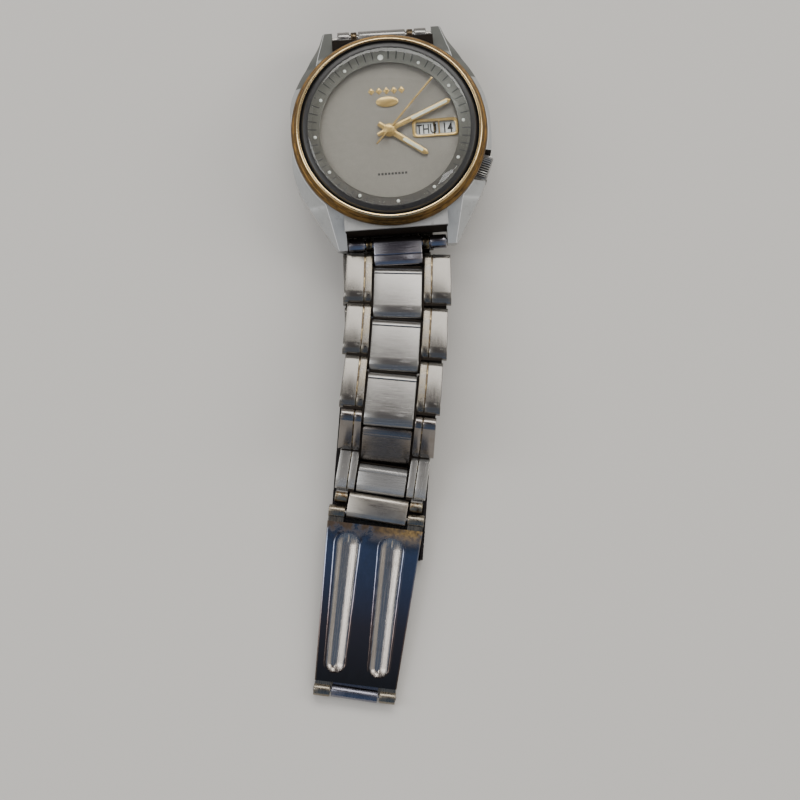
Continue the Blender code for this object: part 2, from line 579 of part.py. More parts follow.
def build_cover(pin, parent):
    """The outer cover: a channel lying outer face down, open towards the wrist side."""
    holder = pin_holder("cover_axis", pin, COVER_HEADING, 0, parent)
    section = [(-COVER_HALF, COVER_LOW), (COVER_HALF, COVER_LOW), (COVER_HALF, COVER_RIM),
               (COVER_HALF - COVER_WALL, COVER_RIM), (COVER_HALF - COVER_WALL, COVER_FLOOR),
               (-COVER_HALF + COVER_WALL, COVER_FLOOR), (-COVER_HALF + COVER_WALL, COVER_RIM),
               (-COVER_HALF, COVER_RIM)]
    along = Matrix.Rotation(math.radians(90), 4, "X")
    mesh = prism(section, -COVER_BEHIND, COVER_AHEAD)
    mesh.transform(along)
    cover = node("clasp_cover", mesh, STEEL, holder["empty"])
    for side in (-1, 1):
        low, high = sorted((side * (3.0 * MM + GAP), side * 5.0 * MM))
        combine(cover, tube(0.9 * MM, low, high), "UNION")
        foot = box((low, -0.6 * MM, COVER_FLOOR - 0.2 * MM), (high, 0.6 * MM, -0.2 * MM))
        combine(cover, foot, "UNION")
    pin_reach = 5.4 * MM
    combine(cover, rod(0.3 * MM, (-pin_reach, 0, 0), (pin_reach, 0, 0)), "UNION")
    bar_y = -COVER_AHEAD + 1.6 * MM
    hole = rod(0.65 * MM, (-9 * MM, bar_y, 0), (9 * MM, bar_y, 0))
    combine(cover, hole, "DIFFERENCE")
    node("adjustment_spring_bar", rod(PIN_R * 0.8, (-7.9 * MM, 0, 0), (7.9 * MM, 0, 0)), STEEL,
         holder["empty"], Matrix.Translation((0, bar_y, 0)))


# ---------------------------------------------------------------- the watch
def stand_on_floor(root):
    """Move the root so that the whole model's box stands centred on the origin."""
    bpy.context.view_layer.update()
    depsgraph = bpy.context.evaluated_depsgraph_get()
    points = []
    for obj in bpy.data.objects:
        if obj.type == "MESH" and not obj.hide_render:
            world = obj.evaluated_get(depsgraph)
            points += [world.matrix_world @ Vector(v.co) for v in world.data.vertices]
    low = Vector([min(p[i] for p in points) for i in range(3)])
    high = Vector([max(p[i] for p in points) for i in range(3)])
    root.location -= Vector(((low.x + high.x) / 2, (low.y + high.y) / 2, low.z))


def main():
    clear_scene()
    root = {"empty": empty("watch", Matrix.Identity(4)), "world": Matrix.Identity(4)}
    head_world = Matrix.Translation(HEAD_CENTRE) @ Matrix.Rotation(HEAD_TURN, 4, "Z")
    head = empty("head", head_world, root["empty"])
    build_case(head)
    build_dial(head)
    build_hands(head)
    build_movement(head)
    build_crown(head)

    front_bar = head_world @ Vector((0, -BAR_Y, BAR_Z))
    pitches = [PITCH] * 4 + [LAST_PITCH]
    holder, pin = build_half("front", front_bar, FRONT_HEADINGS, FRONT_DIPS, pitches, root)
    holder, pin = build_connector(pin, holder)
    holder, pin = build_inner_blade(pin, holder)
    holder, pin = build_middle_blade(pin, holder)
    build_cover(pin, holder)

    back_bar = head_world @ Vector((0, BAR_Y, BAR_Z))
    headings = [180 + heading for heading in BACK_HEADINGS]
    build_half("back", back_bar, headings, BACK_DIPS, [PITCH] * 6, root)
    stand_on_floor(root["empty"])


main()
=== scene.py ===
"""Looks of the two-tone day-date wristwatch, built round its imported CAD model.

Every visible shell is rebuilt here with finer geometry in the frame of its own hinge pin, and rides
on the CAD body that it stands for. Pieces are drawn in millimetres; lamps, cards and the camera are
placed in metres.
"""
import json
import math

import bmesh
import bpy
from mathutils import Matrix, Vector


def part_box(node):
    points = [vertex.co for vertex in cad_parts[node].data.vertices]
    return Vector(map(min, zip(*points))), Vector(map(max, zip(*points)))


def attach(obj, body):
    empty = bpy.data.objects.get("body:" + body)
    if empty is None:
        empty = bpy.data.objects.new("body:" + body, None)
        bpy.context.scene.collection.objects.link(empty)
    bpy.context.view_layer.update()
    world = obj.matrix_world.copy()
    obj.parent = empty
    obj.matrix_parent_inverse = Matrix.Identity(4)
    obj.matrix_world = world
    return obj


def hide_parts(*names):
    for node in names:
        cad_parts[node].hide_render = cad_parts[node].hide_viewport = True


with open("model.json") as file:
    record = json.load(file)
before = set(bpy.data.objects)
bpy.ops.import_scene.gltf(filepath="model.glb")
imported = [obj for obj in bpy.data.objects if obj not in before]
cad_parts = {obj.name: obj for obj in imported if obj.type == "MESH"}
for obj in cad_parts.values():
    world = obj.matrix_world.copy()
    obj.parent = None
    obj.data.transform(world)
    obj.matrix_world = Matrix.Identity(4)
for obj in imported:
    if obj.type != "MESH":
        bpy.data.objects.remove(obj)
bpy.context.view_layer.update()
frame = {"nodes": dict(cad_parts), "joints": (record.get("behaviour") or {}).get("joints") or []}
MM = 0.001

JOINTS = {j["name"]: j for j in frame["joints"]}
PITCH = 10.1
LAST_PITCH = 8.0
LINK_R = 1.25
CENTRE_HALF = 4.3
HALF_WIDTHS = [9.3, 8.95, 8.6, 8.3, 8.0, 7.85]
HEAD_TURN = math.radians(4.3)
CASE_LOW, CASE_TOP = 1.2, 7.6
BORE_R = 15.0
LUG_INSIDE = 9.0
RING_R = 17.5                       # the bezel's outer edge
CROWN_TURN = math.radians(-23.5)    # the crown's axis, round from 3 o'clock
CROWN_R = 2.4
RING_TURN = math.radians(2.7)       # the chapter ring sits slightly turned in its seat
STEM_BORE, STEM_Z = 0.7, 4.2
BLADE_LENGTH = 31.5
BLADE_TOP, BLADE_FOOT = 8.5, 7.25   # half widths of the inner blade at its ends


# ---------------------------------------------------------------- materials
class Shade:
    """A Principled material with small helpers for its procedural nodes."""

    def __init__(self, name, colour, metallic=1.0, roughness=0.3):
        self.material = bpy.data.materials.new(name)
        self.material.use_nodes = True
        self.tree = self.material.node_tree
        self.shader = self.tree.nodes["Principled BSDF"]
        self.set("Base Color", (*colour, 1))
        self.set("Metallic", metallic)
        self.set("Roughness", roughness)
        self.coords = self.node("ShaderNodeTexCoord").outputs["Object"]

    def node(self, kind, **settings):
        made = self.tree.nodes.new(kind)
        for key, value in settings.items():
            setattr(made, key, value)
        return made

    def set(self, socket, value):
        self.shader.inputs[socket].default_value = value

    def link(self, output, target):
        self.tree.links.new(output, target)

    def noise(self, scale, detail=3.0, roughness=0.6):
        """Noise whose grain is scale features per metre along each axis."""
        mapping = self.node("ShaderNodeMapping")
        mapping.inputs["Scale"].default_value = scale
        self.link(self.coords, mapping.inputs["Vector"])
        made = self.node("ShaderNodeTexNoise")
        made.inputs["Scale"].default_value = 1.0
        made.inputs["Detail"].default_value = detail
        made.inputs["Roughness"].default_value = roughness
        self.link(mapping.outputs[0], made.inputs["Vector"])
        return made.outputs["Fac"]

    def ramp(self, source, stops):
        """Colour from a list of (position, colour) stops."""
        made = self.node("ShaderNodeValToRGB")
        while len(made.color_ramp.elements) < len(stops):
            made.color_ramp.elements.new(0.5)
        for element, (place, colour) in zip(made.color_ramp.elements, stops):
            element.position = place
            element.color = (*colour, 1)
        self.link(source, made.inputs["Fac"])
        return made.outputs["Color"]

    def mix(self, factor, low, high):
        """Blend of two colours; each argument is a value or a socket."""
        made = self.node("ShaderNodeMix", data_type="RGBA")
        for socket, value in ((made.inputs[0], factor), (made.inputs[6], low), (made.inputs[7], high)):
            if isinstance(value, bpy.types.NodeSocket):
                self.link(value, socket)
            else:
                socket.default_value = value if isinstance(value, (int, float)) else (*value, 1)
        return made.outputs[2]

    def to_range(self, source, low, high, start=0.3, end=0.7):
        """Map start..end of a value to low..high."""
        made = self.node("ShaderNodeMapRange")
        made.inputs["From Min"].default_value = start
        made.inputs["From Max"].default_value = end
        made.inputs["To Min"].default_value = low
        made.inputs["To Max"].default_value = high
        self.link(source, made.inputs["Value"])
        return made.outputs["Result"]

    def bump(self, source, depth, strength=1.0):
        made = self.node("ShaderNodeBump")
        made.inputs["Strength"].default_value = strength
        made.inputs["Distance"].default_value = depth
        self.link(source, made.inputs["Height"])
        self.link(made.outputs[0], self.shader.inputs["Normal"])

    def colour(self, source):
        self.link(source, self.shader.inputs["Base Color"])

    def rough(self, source):
        self.link(source, self.shader.inputs["Roughness"])


def brushed(name, tint, grain, low=0.26, high=0.38, depth=0.002, dirt=(0.16, 0.12, 0.08)):
    """Brushed metal with streaks along the axis whose grain is coarse, and grime in patches."""
    shade = Shade(name, tint)
    streaks = shade.noise(grain, 4.0)
    patches = shade.noise((320, 320, 320), 4.0)
    dark = [channel * 0.86 for channel in tint]
    steel = shade.ramp(streaks, [(0.3, dark), (0.7, tint)])
    grime = shade.to_range(patches, 0.0, 0.45, 0.56, 0.8)
    shade.colour(shade.mix(grime, steel, dirt))
    shade.rough(shade.to_range(streaks, low, high))
    shade.bump(streaks, depth * MM, 0.6)
    return shade.material


def polished(name, tint, low, high):
    """Mirror steel with hairline scratches and dull handling marks."""
    shade = Shade(name, tint)
    marks = shade.noise((900, 900, 900), 5.0, 0.7)
    hairs = shade.noise((400, 9000, 400), 2.0)
    shade.colour(shade.ramp(marks, [(0.3, [c * 0.82 for c in tint]), (0.65, tint)]))
    shade.rough(shade.to_range(marks, low, high))
    shade.bump(hairs, 0.0015 * MM, 0.4)
    return shade.material


def worn_gold(name, gold, bare, wear=(0.52, 0.66), rough=(0.2, 0.42), grain=(700, 700, 700)):
    """Gold plate rubbed through to a browner or paler metal in patches."""
    shade = Shade(name, gold)
    patches = shade.noise(grain, 5.0, 0.65)
    fine = shade.noise((5000, 5000, 5000), 2.0)
    shade.colour(shade.mix(shade.to_range(patches, 0, 1, *wear), gold, bare))
    shade.rough(shade.to_range(fine, *rough))
    shade.bump(fine, 0.003 * MM, 0.5)
    return shade.material


def paint(name, tint, other, roughness, specular=0.5, grain=2500):
    """Fine painted or moulded surface with a faint mottle."""
    shade = Shade(name, tint, 0.0, roughness)
    shade.set("Specular IOR Level", specular)
    mottle = shade.noise((grain, grain, grain), 3.0)
    shade.colour(shade.ramp(mottle, [(0.3, tint), (0.7, other)]))
    shade.rough(shade.to_range(mottle, roughness - 0.08, roughness + 0.08))
    shade.bump(mottle, 0.002 * MM, 0.4)
    return shade.material


def satin(name, tint, grain, metallic=0.3, roughness=0.34):
    """Pale satin steel, bright from every side, with faint streaks and small dark marks."""
    shade = Shade(name, tint, metallic, roughness)
    streaks = shade.noise(grain, 4.0)
    marks = shade.noise((900, 900, 900), 4.0)
    pale = [min(1, channel * 1.12) for channel in tint]
    steel = shade.ramp(streaks, [(0.3, tint), (0.7, pale)])
    shade.colour(shade.mix(shade.to_range(marks, 0, 0.5, 0.58, 0.75), steel, (0.2, 0.19, 0.18)))
    shade.rough(shade.to_range(streaks, roughness - 0.05, roughness + 0.06))
    return shade.material


LATERAL = satin("steel_lateral", (0.255, 0.247, 0.235), (300, 14000, 14000), 0.86, 0.22)
END_STEEL = brushed("end_link_steel", (0.34, 0.33, 0.36), (300, 14000, 14000), 0.16, 0.28)
LENGTHWISE = satin("steel_lengthwise", (0.17, 0.16, 0.145), (9000, 300, 9000), 0.84, 0.19)
SHADED_LATERAL = brushed("steel_shaded_lateral", (0.27, 0.245, 0.225), (300, 14000, 14000), 0.2, 0.3)
SHADED_LENGTHWISE = brushed("steel_shaded_lengthwise", (0.29, 0.265, 0.245), (9000, 300, 9000),
                            0.18, 0.24, 0.0006)
# Paler, less metallic copies of the link steel for the fifth row, which faces up: painted light.
PAINTED_LIGHT_LATERAL = satin("steel_painted_light_lateral", (0.33, 0.325, 0.315), (300, 14000, 14000), 0.6, 0.26)
PAINTED_LIGHT_LENGTHWISE = satin("steel_painted_light_lengthwise", (0.35, 0.34, 0.32), (9000, 300, 9000), 0.6, 0.24)
RUSTY_TUBE = worn_gold("rusty_tube", (0.30, 0.265, 0.20), (0.13, 0.075, 0.03), (0.48, 0.62),
                       (0.25, 0.45), (1100, 1100, 1100))
CASE_SIDE = brushed("case_brushed", (0.66, 0.66, 0.65), (9000, 500, 500), 0.3, 0.42)
# Near-white strip along the ridge between the case's top face and its outer facet: painted highlight.
CASE_EDGE_HIGHLIGHT = satin("case_edge_highlight", (0.86, 0.87, 0.88), (500, 500, 500), 0.2, 0.2)
CASE_SATIN = satin("case_satin", (0.375, 0.38, 0.375), (9000, 500, 500))
# Near-black paint that stands in for shade: painted shade in the gaps between the links, in the recess
# round the crown and on the case's end walls.
PAINTED_SHADE_BLACK = paint("grime", (0.008, 0.006, 0.005), (0.018, 0.013, 0.009), 0.7, 0.1, 3000)
PIN_STEEL = brushed("pin_turned", (0.44, 0.42, 0.39), (12000, 600, 600), 0.25, 0.4)
# Darker copy of the case's satin for its twelve o'clock half: painted shade.
CASE_PAINTED_SHADE = satin("case_painted_shade", (0.13, 0.135, 0.125), (9000, 500, 500), 0.5)
CROWN_STEEL = satin("crown_steel", (0.38, 0.37, 0.35), (600, 600, 600), 0.5, 0.25)
STRIP_GOLD = worn_gold("strip_gold", (0.42, 0.33, 0.18), (0.075, 0.055, 0.035), (0.36, 0.5))
STRIP_PALE = worn_gold("strip_pale", (0.215, 0.19, 0.15), (0.205, 0.192, 0.172), (0.42, 0.6))
BEZEL_GOLD = worn_gold("bezel_flank", (0.225, 0.128, 0.04), (0.105, 0.064, 0.027), (0.42, 0.6),
                       (0.3, 0.5), (500, 500, 2500))
RING_GOLD = worn_gold("bezel_ring", (0.78, 0.58, 0.30), (0.62, 0.46, 0.24), (0.55, 0.7),
                      (0.12, 0.25))
STUD_WHITE = paint("stud_white", (0.86, 0.86, 0.80), (0.80, 0.80, 0.74), 0.3)
HAND_GOLD = satin("hand_gold", (0.56, 0.385, 0.15), (700, 700, 700), 0.6, 0.22)
BRASS = worn_gold("movement_brass", (0.70, 0.53, 0.27), (0.58, 0.44, 0.24))
LUME = paint("lume", (0.62, 0.64, 0.52), (0.52, 0.54, 0.44), 0.6)
WHITE = paint("disc_white", (0.78, 0.78, 0.76), (0.70, 0.70, 0.68), 0.5)
INK = paint("ink", (0.015, 0.014, 0.013), (0.03, 0.028, 0.026), 0.5)
# Black for the crystal seat and the bezel's inner band, and painted shade in the cover's holes, the
# crown's grooves, the case back's notches and the case's bore.
BLACK_AND_PAINTED_SHADE = paint("black_and_painted_shade", (0.012, 0.012, 0.013), (0.02, 0.019, 0.018), 0.35)
RUBBER = paint("seal_rubber", (0.02, 0.02, 0.02), (0.035, 0.035, 0.035), 0.7)
PLASTIC = paint("holder_plastic", (0.74, 0.71, 0.62), (0.68, 0.65, 0.56), 0.5)


def dial_material():
    """Warm grey dial with a faint radial brushing and a soft mottle."""
    shade = Shade("dial_grey", (0.24, 0.22, 0.195), 0.45, 0.45)
    centre = [-c for c in head @ Vector((0, 0, 0))]
    mapping = shade.node("ShaderNodeMapping")
    mapping.inputs["Location"].default_value = centre
    shade.link(shade.coords, mapping.inputs["Vector"])
    rays = shade.node("ShaderNodeTexGradient", gradient_type="RADIAL")
    shade.link(mapping.outputs[0], rays.inputs["Vector"])
    stretch = shade.node("ShaderNodeMapping")
    stretch.inputs["Scale"].default_value = (420, 0, 0)
    shade.link(rays.outputs["Fac"], stretch.inputs["Vector"])
    grain = shade.node("ShaderNodeTexNoise")
    grain.inputs["Scale"].default_value = 1.0
    grain.inputs["Detail"].default_value = 4.0
    shade.link(stretch.outputs[0], grain.inputs["Vector"])
    mottle = shade.noise((900, 900, 900), 4.0)
    rayed = shade.ramp(grain.outputs["Fac"], [(0.3, (0.235, 0.217, 0.19)),
                                              (0.7, (0.268, 0.248, 0.216))])
    shade.colour(shade.mix(shade.to_range(mottle, 0, 0.35), rayed, (0.195, 0.18, 0.158)))
    shade.rough(shade.to_range(mottle, 0.36, 0.5))
    return shade.material


def ring_material():
    """Grey-green chapter ring, paler towards twelve o'clock and darker towards the six o'clock side:
    painted light and shade.
    """
    shade = Shade("ring_paint", (0.12, 0.118, 0.1), 0.3, 0.38)
    middle = (head @ Vector((0, 0, 0))).y
    split = shade.node("ShaderNodeSeparateXYZ")
    shade.link(shade.coords, split.inputs["Vector"])
    height = shade.to_range(split.outputs["Y"], 0.0, 1.0, middle - 0.0135, middle + 0.0135)
    # Ramp along Y: painted shade towards six o'clock, painted light towards twelve.
    painted_shading = shade.ramp(height, [(0.0, (0.036, 0.029, 0.022)), (0.5, (0.095, 0.09, 0.074)),
                               (1.0, (0.2, 0.196, 0.168))])
    mottle = shade.noise((1500, 1500, 1500), 4.0)
    shade.colour(shade.mix(shade.to_range(mottle, 0, 0.25), painted_shading, (0.05, 0.05, 0.042)))
    return shade.material


def blade_material():
    """Polished blade steel, rusty at its top; its colour is painted bluish near the connector and dark
    towards its foot: painted reflection.
    """
    shade = Shade("blade_steel", (0.5, 0.5, 0.5))
    marks = shade.noise((900, 500, 900), 5.0, 0.7)
    split = shade.node("ShaderNodeSeparateXYZ")
    shade.link(shade.coords, split.inputs[0])
    along = shade.to_range(split.outputs["Y"], 0.0, 1.0, -30 * MM, -4 * MM)
    # The tone along the blade is painted reflection: bluish near the connector, dark towards its foot.
    painted_reflection_tone = shade.ramp(along, [(0.0, (0.085, 0.065, 0.05)), (0.4, (0.18, 0.13, 0.12)),
                              (0.7, (0.21, 0.21, 0.265)), (1.0, (0.21, 0.255, 0.35))])
    clean = shade.mix(shade.to_range(marks, 0, 0.3), painted_reflection_tone, (0.13, 0.11, 0.10))
    near_top = shade.to_range(split.outputs["Y"], 0.0, 1.0, -6.5 * MM, -2.2 * MM)
    stain = shade.to_range(shade.noise((420, 420, 420), 5.0, 0.7), 0.3, 1.0, 0.33, 0.5)
    both = shade.node("ShaderNodeMath", operation="MULTIPLY")
    shade.link(near_top, both.inputs[0])
    shade.link(stain, both.inputs[1])
    across = shade.to_range(split.outputs["X"], 0.0, 1.0, -1 * MM, 7 * MM)
    blotches = shade.to_range(shade.noise((1300, 1300, 1300), 5.0, 0.7), 0, 0.85, 0.4, 0.62)
    rust = shade.mix(blotches, shade.mix(across, (0.06, 0.036, 0.02), (0.25, 0.16, 0.055)),
                     (0.03, 0.02, 0.014))
    rusty = shade.to_range(both.outputs[0], 0.0, 1.0, 0.05, 0.9)
    shade.colour(shade.mix(rusty, clean, rust))
    shade.link(shade.to_range(rusty, 1.0, 0.2, 0.4, 1.0), shade.shader.inputs["Metallic"])
    shade.rough(shade.to_range(rusty, 0.1, 0.5, 0.3, 1.0))
    shade.bump(shade.noise((500, 9000, 500), 2.0), 0.002 * MM, 0.4)
    return shade.material


def glass_material():
    """Clear mineral crystal, faintly smeared, that lets the lamps reach the dial."""
    shade = Shade("crystal_clear", (0.93, 0.95, 0.94), 0.0)
    shade.set("Transmission Weight", 1.0)
    shade.set("IOR", 1.5)
    shade.rough(shade.to_range(shade.noise((260, 260, 260), 5.0, 0.5), 0.0, 0.12, 0.5, 0.8))
    clear = shade.node("ShaderNodeBsdfTransparent")
    path = shade.node("ShaderNodeLightPath")
    mix = shade.node("ShaderNodeMixShader")
    shade.link(path.outputs["Is Shadow Ray"], mix.inputs[0])
    shade.link(shade.shader.outputs[0], mix.inputs[1])
    shade.link(clear.outputs[0], mix.inputs[2])
    shade.link(mix.outputs[0], shade.tree.nodes["Material Output"].inputs["Surface"])
    return shade.material


# ---------------------------------------------------------------- frames of the bodies
def pin_of(joint):
    """A joint's point in the world, in metres."""
    return Vector(JOINTS[joint]["pos_m"])


def link_frame(joint, far):
    """At a hinge pin: X along the hinge, -Y towards the far point, Z to the bracelet's outer side."""
    pin = pin_of(joint)
    across = Vector(JOINTS[joint]["axis"]).normalized()
    ahead = far - pin
    ahead -= across * ahead.dot(across)
    ahead.normalize()
    outer = across.cross(-ahead)
    return Matrix.Translation(pin) @ Matrix((across, -ahead, outer)).transposed().to_4x4()


centre = pin_of("minute_hand_turn")
head = Matrix.Translation((centre.x, centre.y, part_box("case_back")[0].z))
head = head @ Matrix.Rotation(HEAD_TURN, 4, "Z")

FRONT = ["front_end", "front_row_1", "front_row_2", "front_row_3", "front_row_4", "front_row_5"]
BACK = ["back_end"] + [f"back_row_{n}" for n in range(1, 7)]
PLACES = {}
for names, last in ((FRONT, pin_of("connector_hinge")), (BACK, None)):
    pins = [pin_of(f"{n}_hinge") for n in names]
    pins.append(last or pins[-1] * 2 - pins[-2])
    for name, far in zip(names, pins[1:]):
        PLACES[name] = link_frame(f"{name}_hinge", far)
PLACES["connector"] = link_frame("connector_hinge", pin_of("inner_blade_hinge"))
PLACES["inner_blade"] = link_frame("inner_blade_hinge", pin_of("clasp_fold"))
PLACES["middle_blade"] = link_frame("clasp_fold", pin_of("cover_fold"))
cover_axis = Vector(JOINTS["cover_fold"]["axis"])
cover_ahead = Vector((0, 0, 1)).cross(cover_axis) * -1
PLACES["cover"] = link_frame("cover_fold", pin_of("cover_fold") + cover_ahead)


# ---------------------------------------------------------------- shape helpers
def place(name, bm, body, materials, matrix, stands_for=None, slot="brushed_steel", smooth=32):
    """Finish a mesh drawn in millimetres in a body's own frame, and let it ride on that body.

    The head's turn goes into the mesh itself, so that the piece's box stays square to the world.
    """
    bmesh.ops.remove_doubles(bm, verts=bm.verts, dist=1e-4)
    bmesh.ops.recalc_face_normals(bm, faces=bm.faces)
    mesh = bpy.data.meshes.new(name)
    bm.to_mesh(mesh)
    bm.free()
    mesh.transform(Matrix.Scale(MM, 4))
    if matrix is head:
        mesh.transform(head)
        matrix = Matrix.Identity(4)
    for material in materials if isinstance(materials, (list, tuple)) else [materials]:
        mesh.materials.append(material)
    mesh.shade_smooth()
    mesh.set_sharp_from_angle(angle=math.radians(smooth))
    obj = bpy.data.objects.new(name, mesh)
    bpy.context.scene.collection.objects.link(obj)
    obj.matrix_world = matrix
    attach(obj, body)
    if stands_for:
        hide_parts(stands_for)
    return obj


def loft(bm, rings, closed=False, caps=True, material=0):
    """Skin equal-length rings of points; material may be a list that goes round the ring."""
    made = [[bm.verts.new(point) for point in ring] for ring in rings]
    slots = material if isinstance(material, list) else [material]
    for first, second in zip(made, made[1:] + made[:1] if closed else made[1:]):
        for i in range(len(first)):
            j = (i + 1) % len(first)
            face = bm.faces.new((first[i], first[j], second[j], second[i]))
            face.material_index = slots[i % len(slots)]
    if caps and not closed:
        for ring in (list(reversed(made[0])), made[-1]):
            bm.faces.new(ring).material_index = slots[0]


def turned(bm, profile, segments=128, closed=True, centre=(0, 0), material=0):
    """Revolve (radius, height) corners about Z."""
    rings = []
    for step in range(segments):
        turn = 2 * math.pi * step / segments
        cos, sin = math.cos(turn), math.sin(turn)
        rings.append([(centre[0] + max(r, 1e-3) * cos, centre[1] + max(r, 1e-3) * sin, z)
                      for r, z in profile])
    made = [[bm.verts.new(point) for point in ring] for ring in rings]
    count = len(profile)
    for first, second in zip(made, made[1:] + made[:1]):
        for i in range(count if closed else count - 1):
            j = (i + 1) % count
            face = bm.faces.new((first[i], first[j], second[j], second[i]))
            face.material_index = material


def prism(bm, outline, low, high, bevel=0.0):
    """Extrude an outline in XY with small chamfers at both ends."""
    centre_x = sum(x for x, _ in outline) / len(outline)
    centre_y = sum(y for _, y in outline) / len(outline)
    reach = max(math.hypot(x - centre_x, y - centre_y) for x, y in outline)
    shrunk = 1 - bevel / reach
    inner = [(centre_x + (x - centre_x) * shrunk, centre_y + (y - centre_y) * shrunk)
             for x, y in outline]
    rings = [(inner, low), (outline, low + bevel), (outline, high - bevel), (inner, high)]
    if not bevel:
        rings = rings[1:3]
    stack(bm, rings)


def stack(bm, rings, closed=False):
    """Loft flat outlines, each given with its height."""
    loft(bm, [[(x, y, z) for x, y in ring] for ring, z in rings], closed)


def stadium(start, end, radius, crease=None, roll=None, steps=12):
    """Side outline (y, z) of a link: round at the start, rolled over a length at the far end."""
    roll = roll or radius
    points = []
    for step in range(steps + 1):
        turn = -math.pi / 2 + math.pi * step / steps
        points.append((start + radius * math.cos(turn), radius * math.sin(turn)))
    if crease is not None:
        points += [(crease + 0.16, radius), (crease, radius - 0.14), (crease - 0.16, radius)]
    for step in range(steps + 1):
        turn = math.pi / 2 + math.pi * step / steps
        points.append((end - radius + roll + roll * math.cos(turn), radius * math.sin(turn)))
    return points


def slab(bm, stations, start, end, radius, crease=None, roll=None):
    """A link part lofted along X; stations are (x, inset)."""
    rings = []
    for x, inset in stations:
        outline = stadium(start, end, radius - inset, crease, roll)
        rings.append([(x, y, z) for y, z in outline])
    loft(bm, rings)


def both_sides(inner, outer):
    """The spans on both sides of the middle between an inner and an outer distance."""
    return (-outer, -inner), (inner, outer)


def bevelled(low, high, size=0.16):
    """Stations of a part from low to high in X with rounded end corners."""
    return [(low, size), (low + 0.3 * size, 0.3 * size), (low + size, 0),
            (high - size, 0), (high - 0.3 * size, 0.3 * size), (high, size)]


def block(bm, low, high):
    """Box between two corners."""
    corners = [(low[0], low[1]), (high[0], low[1]), (high[0], high[1]), (low[0], high[1])]
    stack(bm, [(corners, low[2]), (corners, high[2])])


def rod(bm, radius, start, end, segments=20):
    """Round bar with slightly chamfered ends."""
    start, end = Vector(start), Vector(end)
    along = end - start
    turn = along.to_track_quat("Z", "Y").to_matrix()
    rings = []
    for share, size in ((0, 0.85), (0.03, 1), (0.97, 1), (1, 0.85)):
        ring = []
        for step in range(segments):
            angle = 2 * math.pi * step / segments
            edge = Vector((math.cos(angle), math.sin(angle), 0)) * radius * size
            ring.append(start + along * share + turn @ edge)
        rings.append(ring)
    loft(bm, rings)


def arc_points(points, rounds, steps=5):
    """Round the corners of a closed outline; rounds gives the cut-back at each corner."""
    made = []
    count = len(points)
    for i, corner in enumerate(points):
        here = Vector(corner)
        before, after = Vector(points[i - 1]), Vector(points[(i + 1) % count])
        cut = rounds[i] if isinstance(rounds, (list, tuple)) else rounds
        first = here + (before - here).normalized() * cut
        last = here + (after - here).normalized() * cut
        if not cut:
            made.append(tuple(here))
            continue
        for step in range(steps + 1):
            t = step / steps
            point = first * (1 - t) ** 2 + here * 2 * t * (1 - t) + last * t ** 2
            made.append(tuple(point))
    return made


# ---------------------------------------------------------------- bracelet links
def taper(bm, near, far, pitch):
    """Pull the outer edge of a link in towards its far pin."""
    for vert in bm.verts:
        if abs(vert.co.x) > near - 0.8:
            share = min(1, max(0, -vert.co.y / pitch))
            vert.co.x += math.copysign(share * (far - near), vert.co.x)


# Row 4 dips away and takes the shaded copies of the steel, painted shade; row 5 takes the paler
# copies, painted light.
LINK_LOOKS = {
    "front_row_4": (SHADED_LENGTHWISE, SHADED_LATERAL, SHADED_LENGTHWISE),
    "front_row_5": (PAINTED_LIGHT_LENGTHWISE, PAINTED_LIGHT_LATERAL, PAINTED_LIGHT_LENGTHWISE),
}


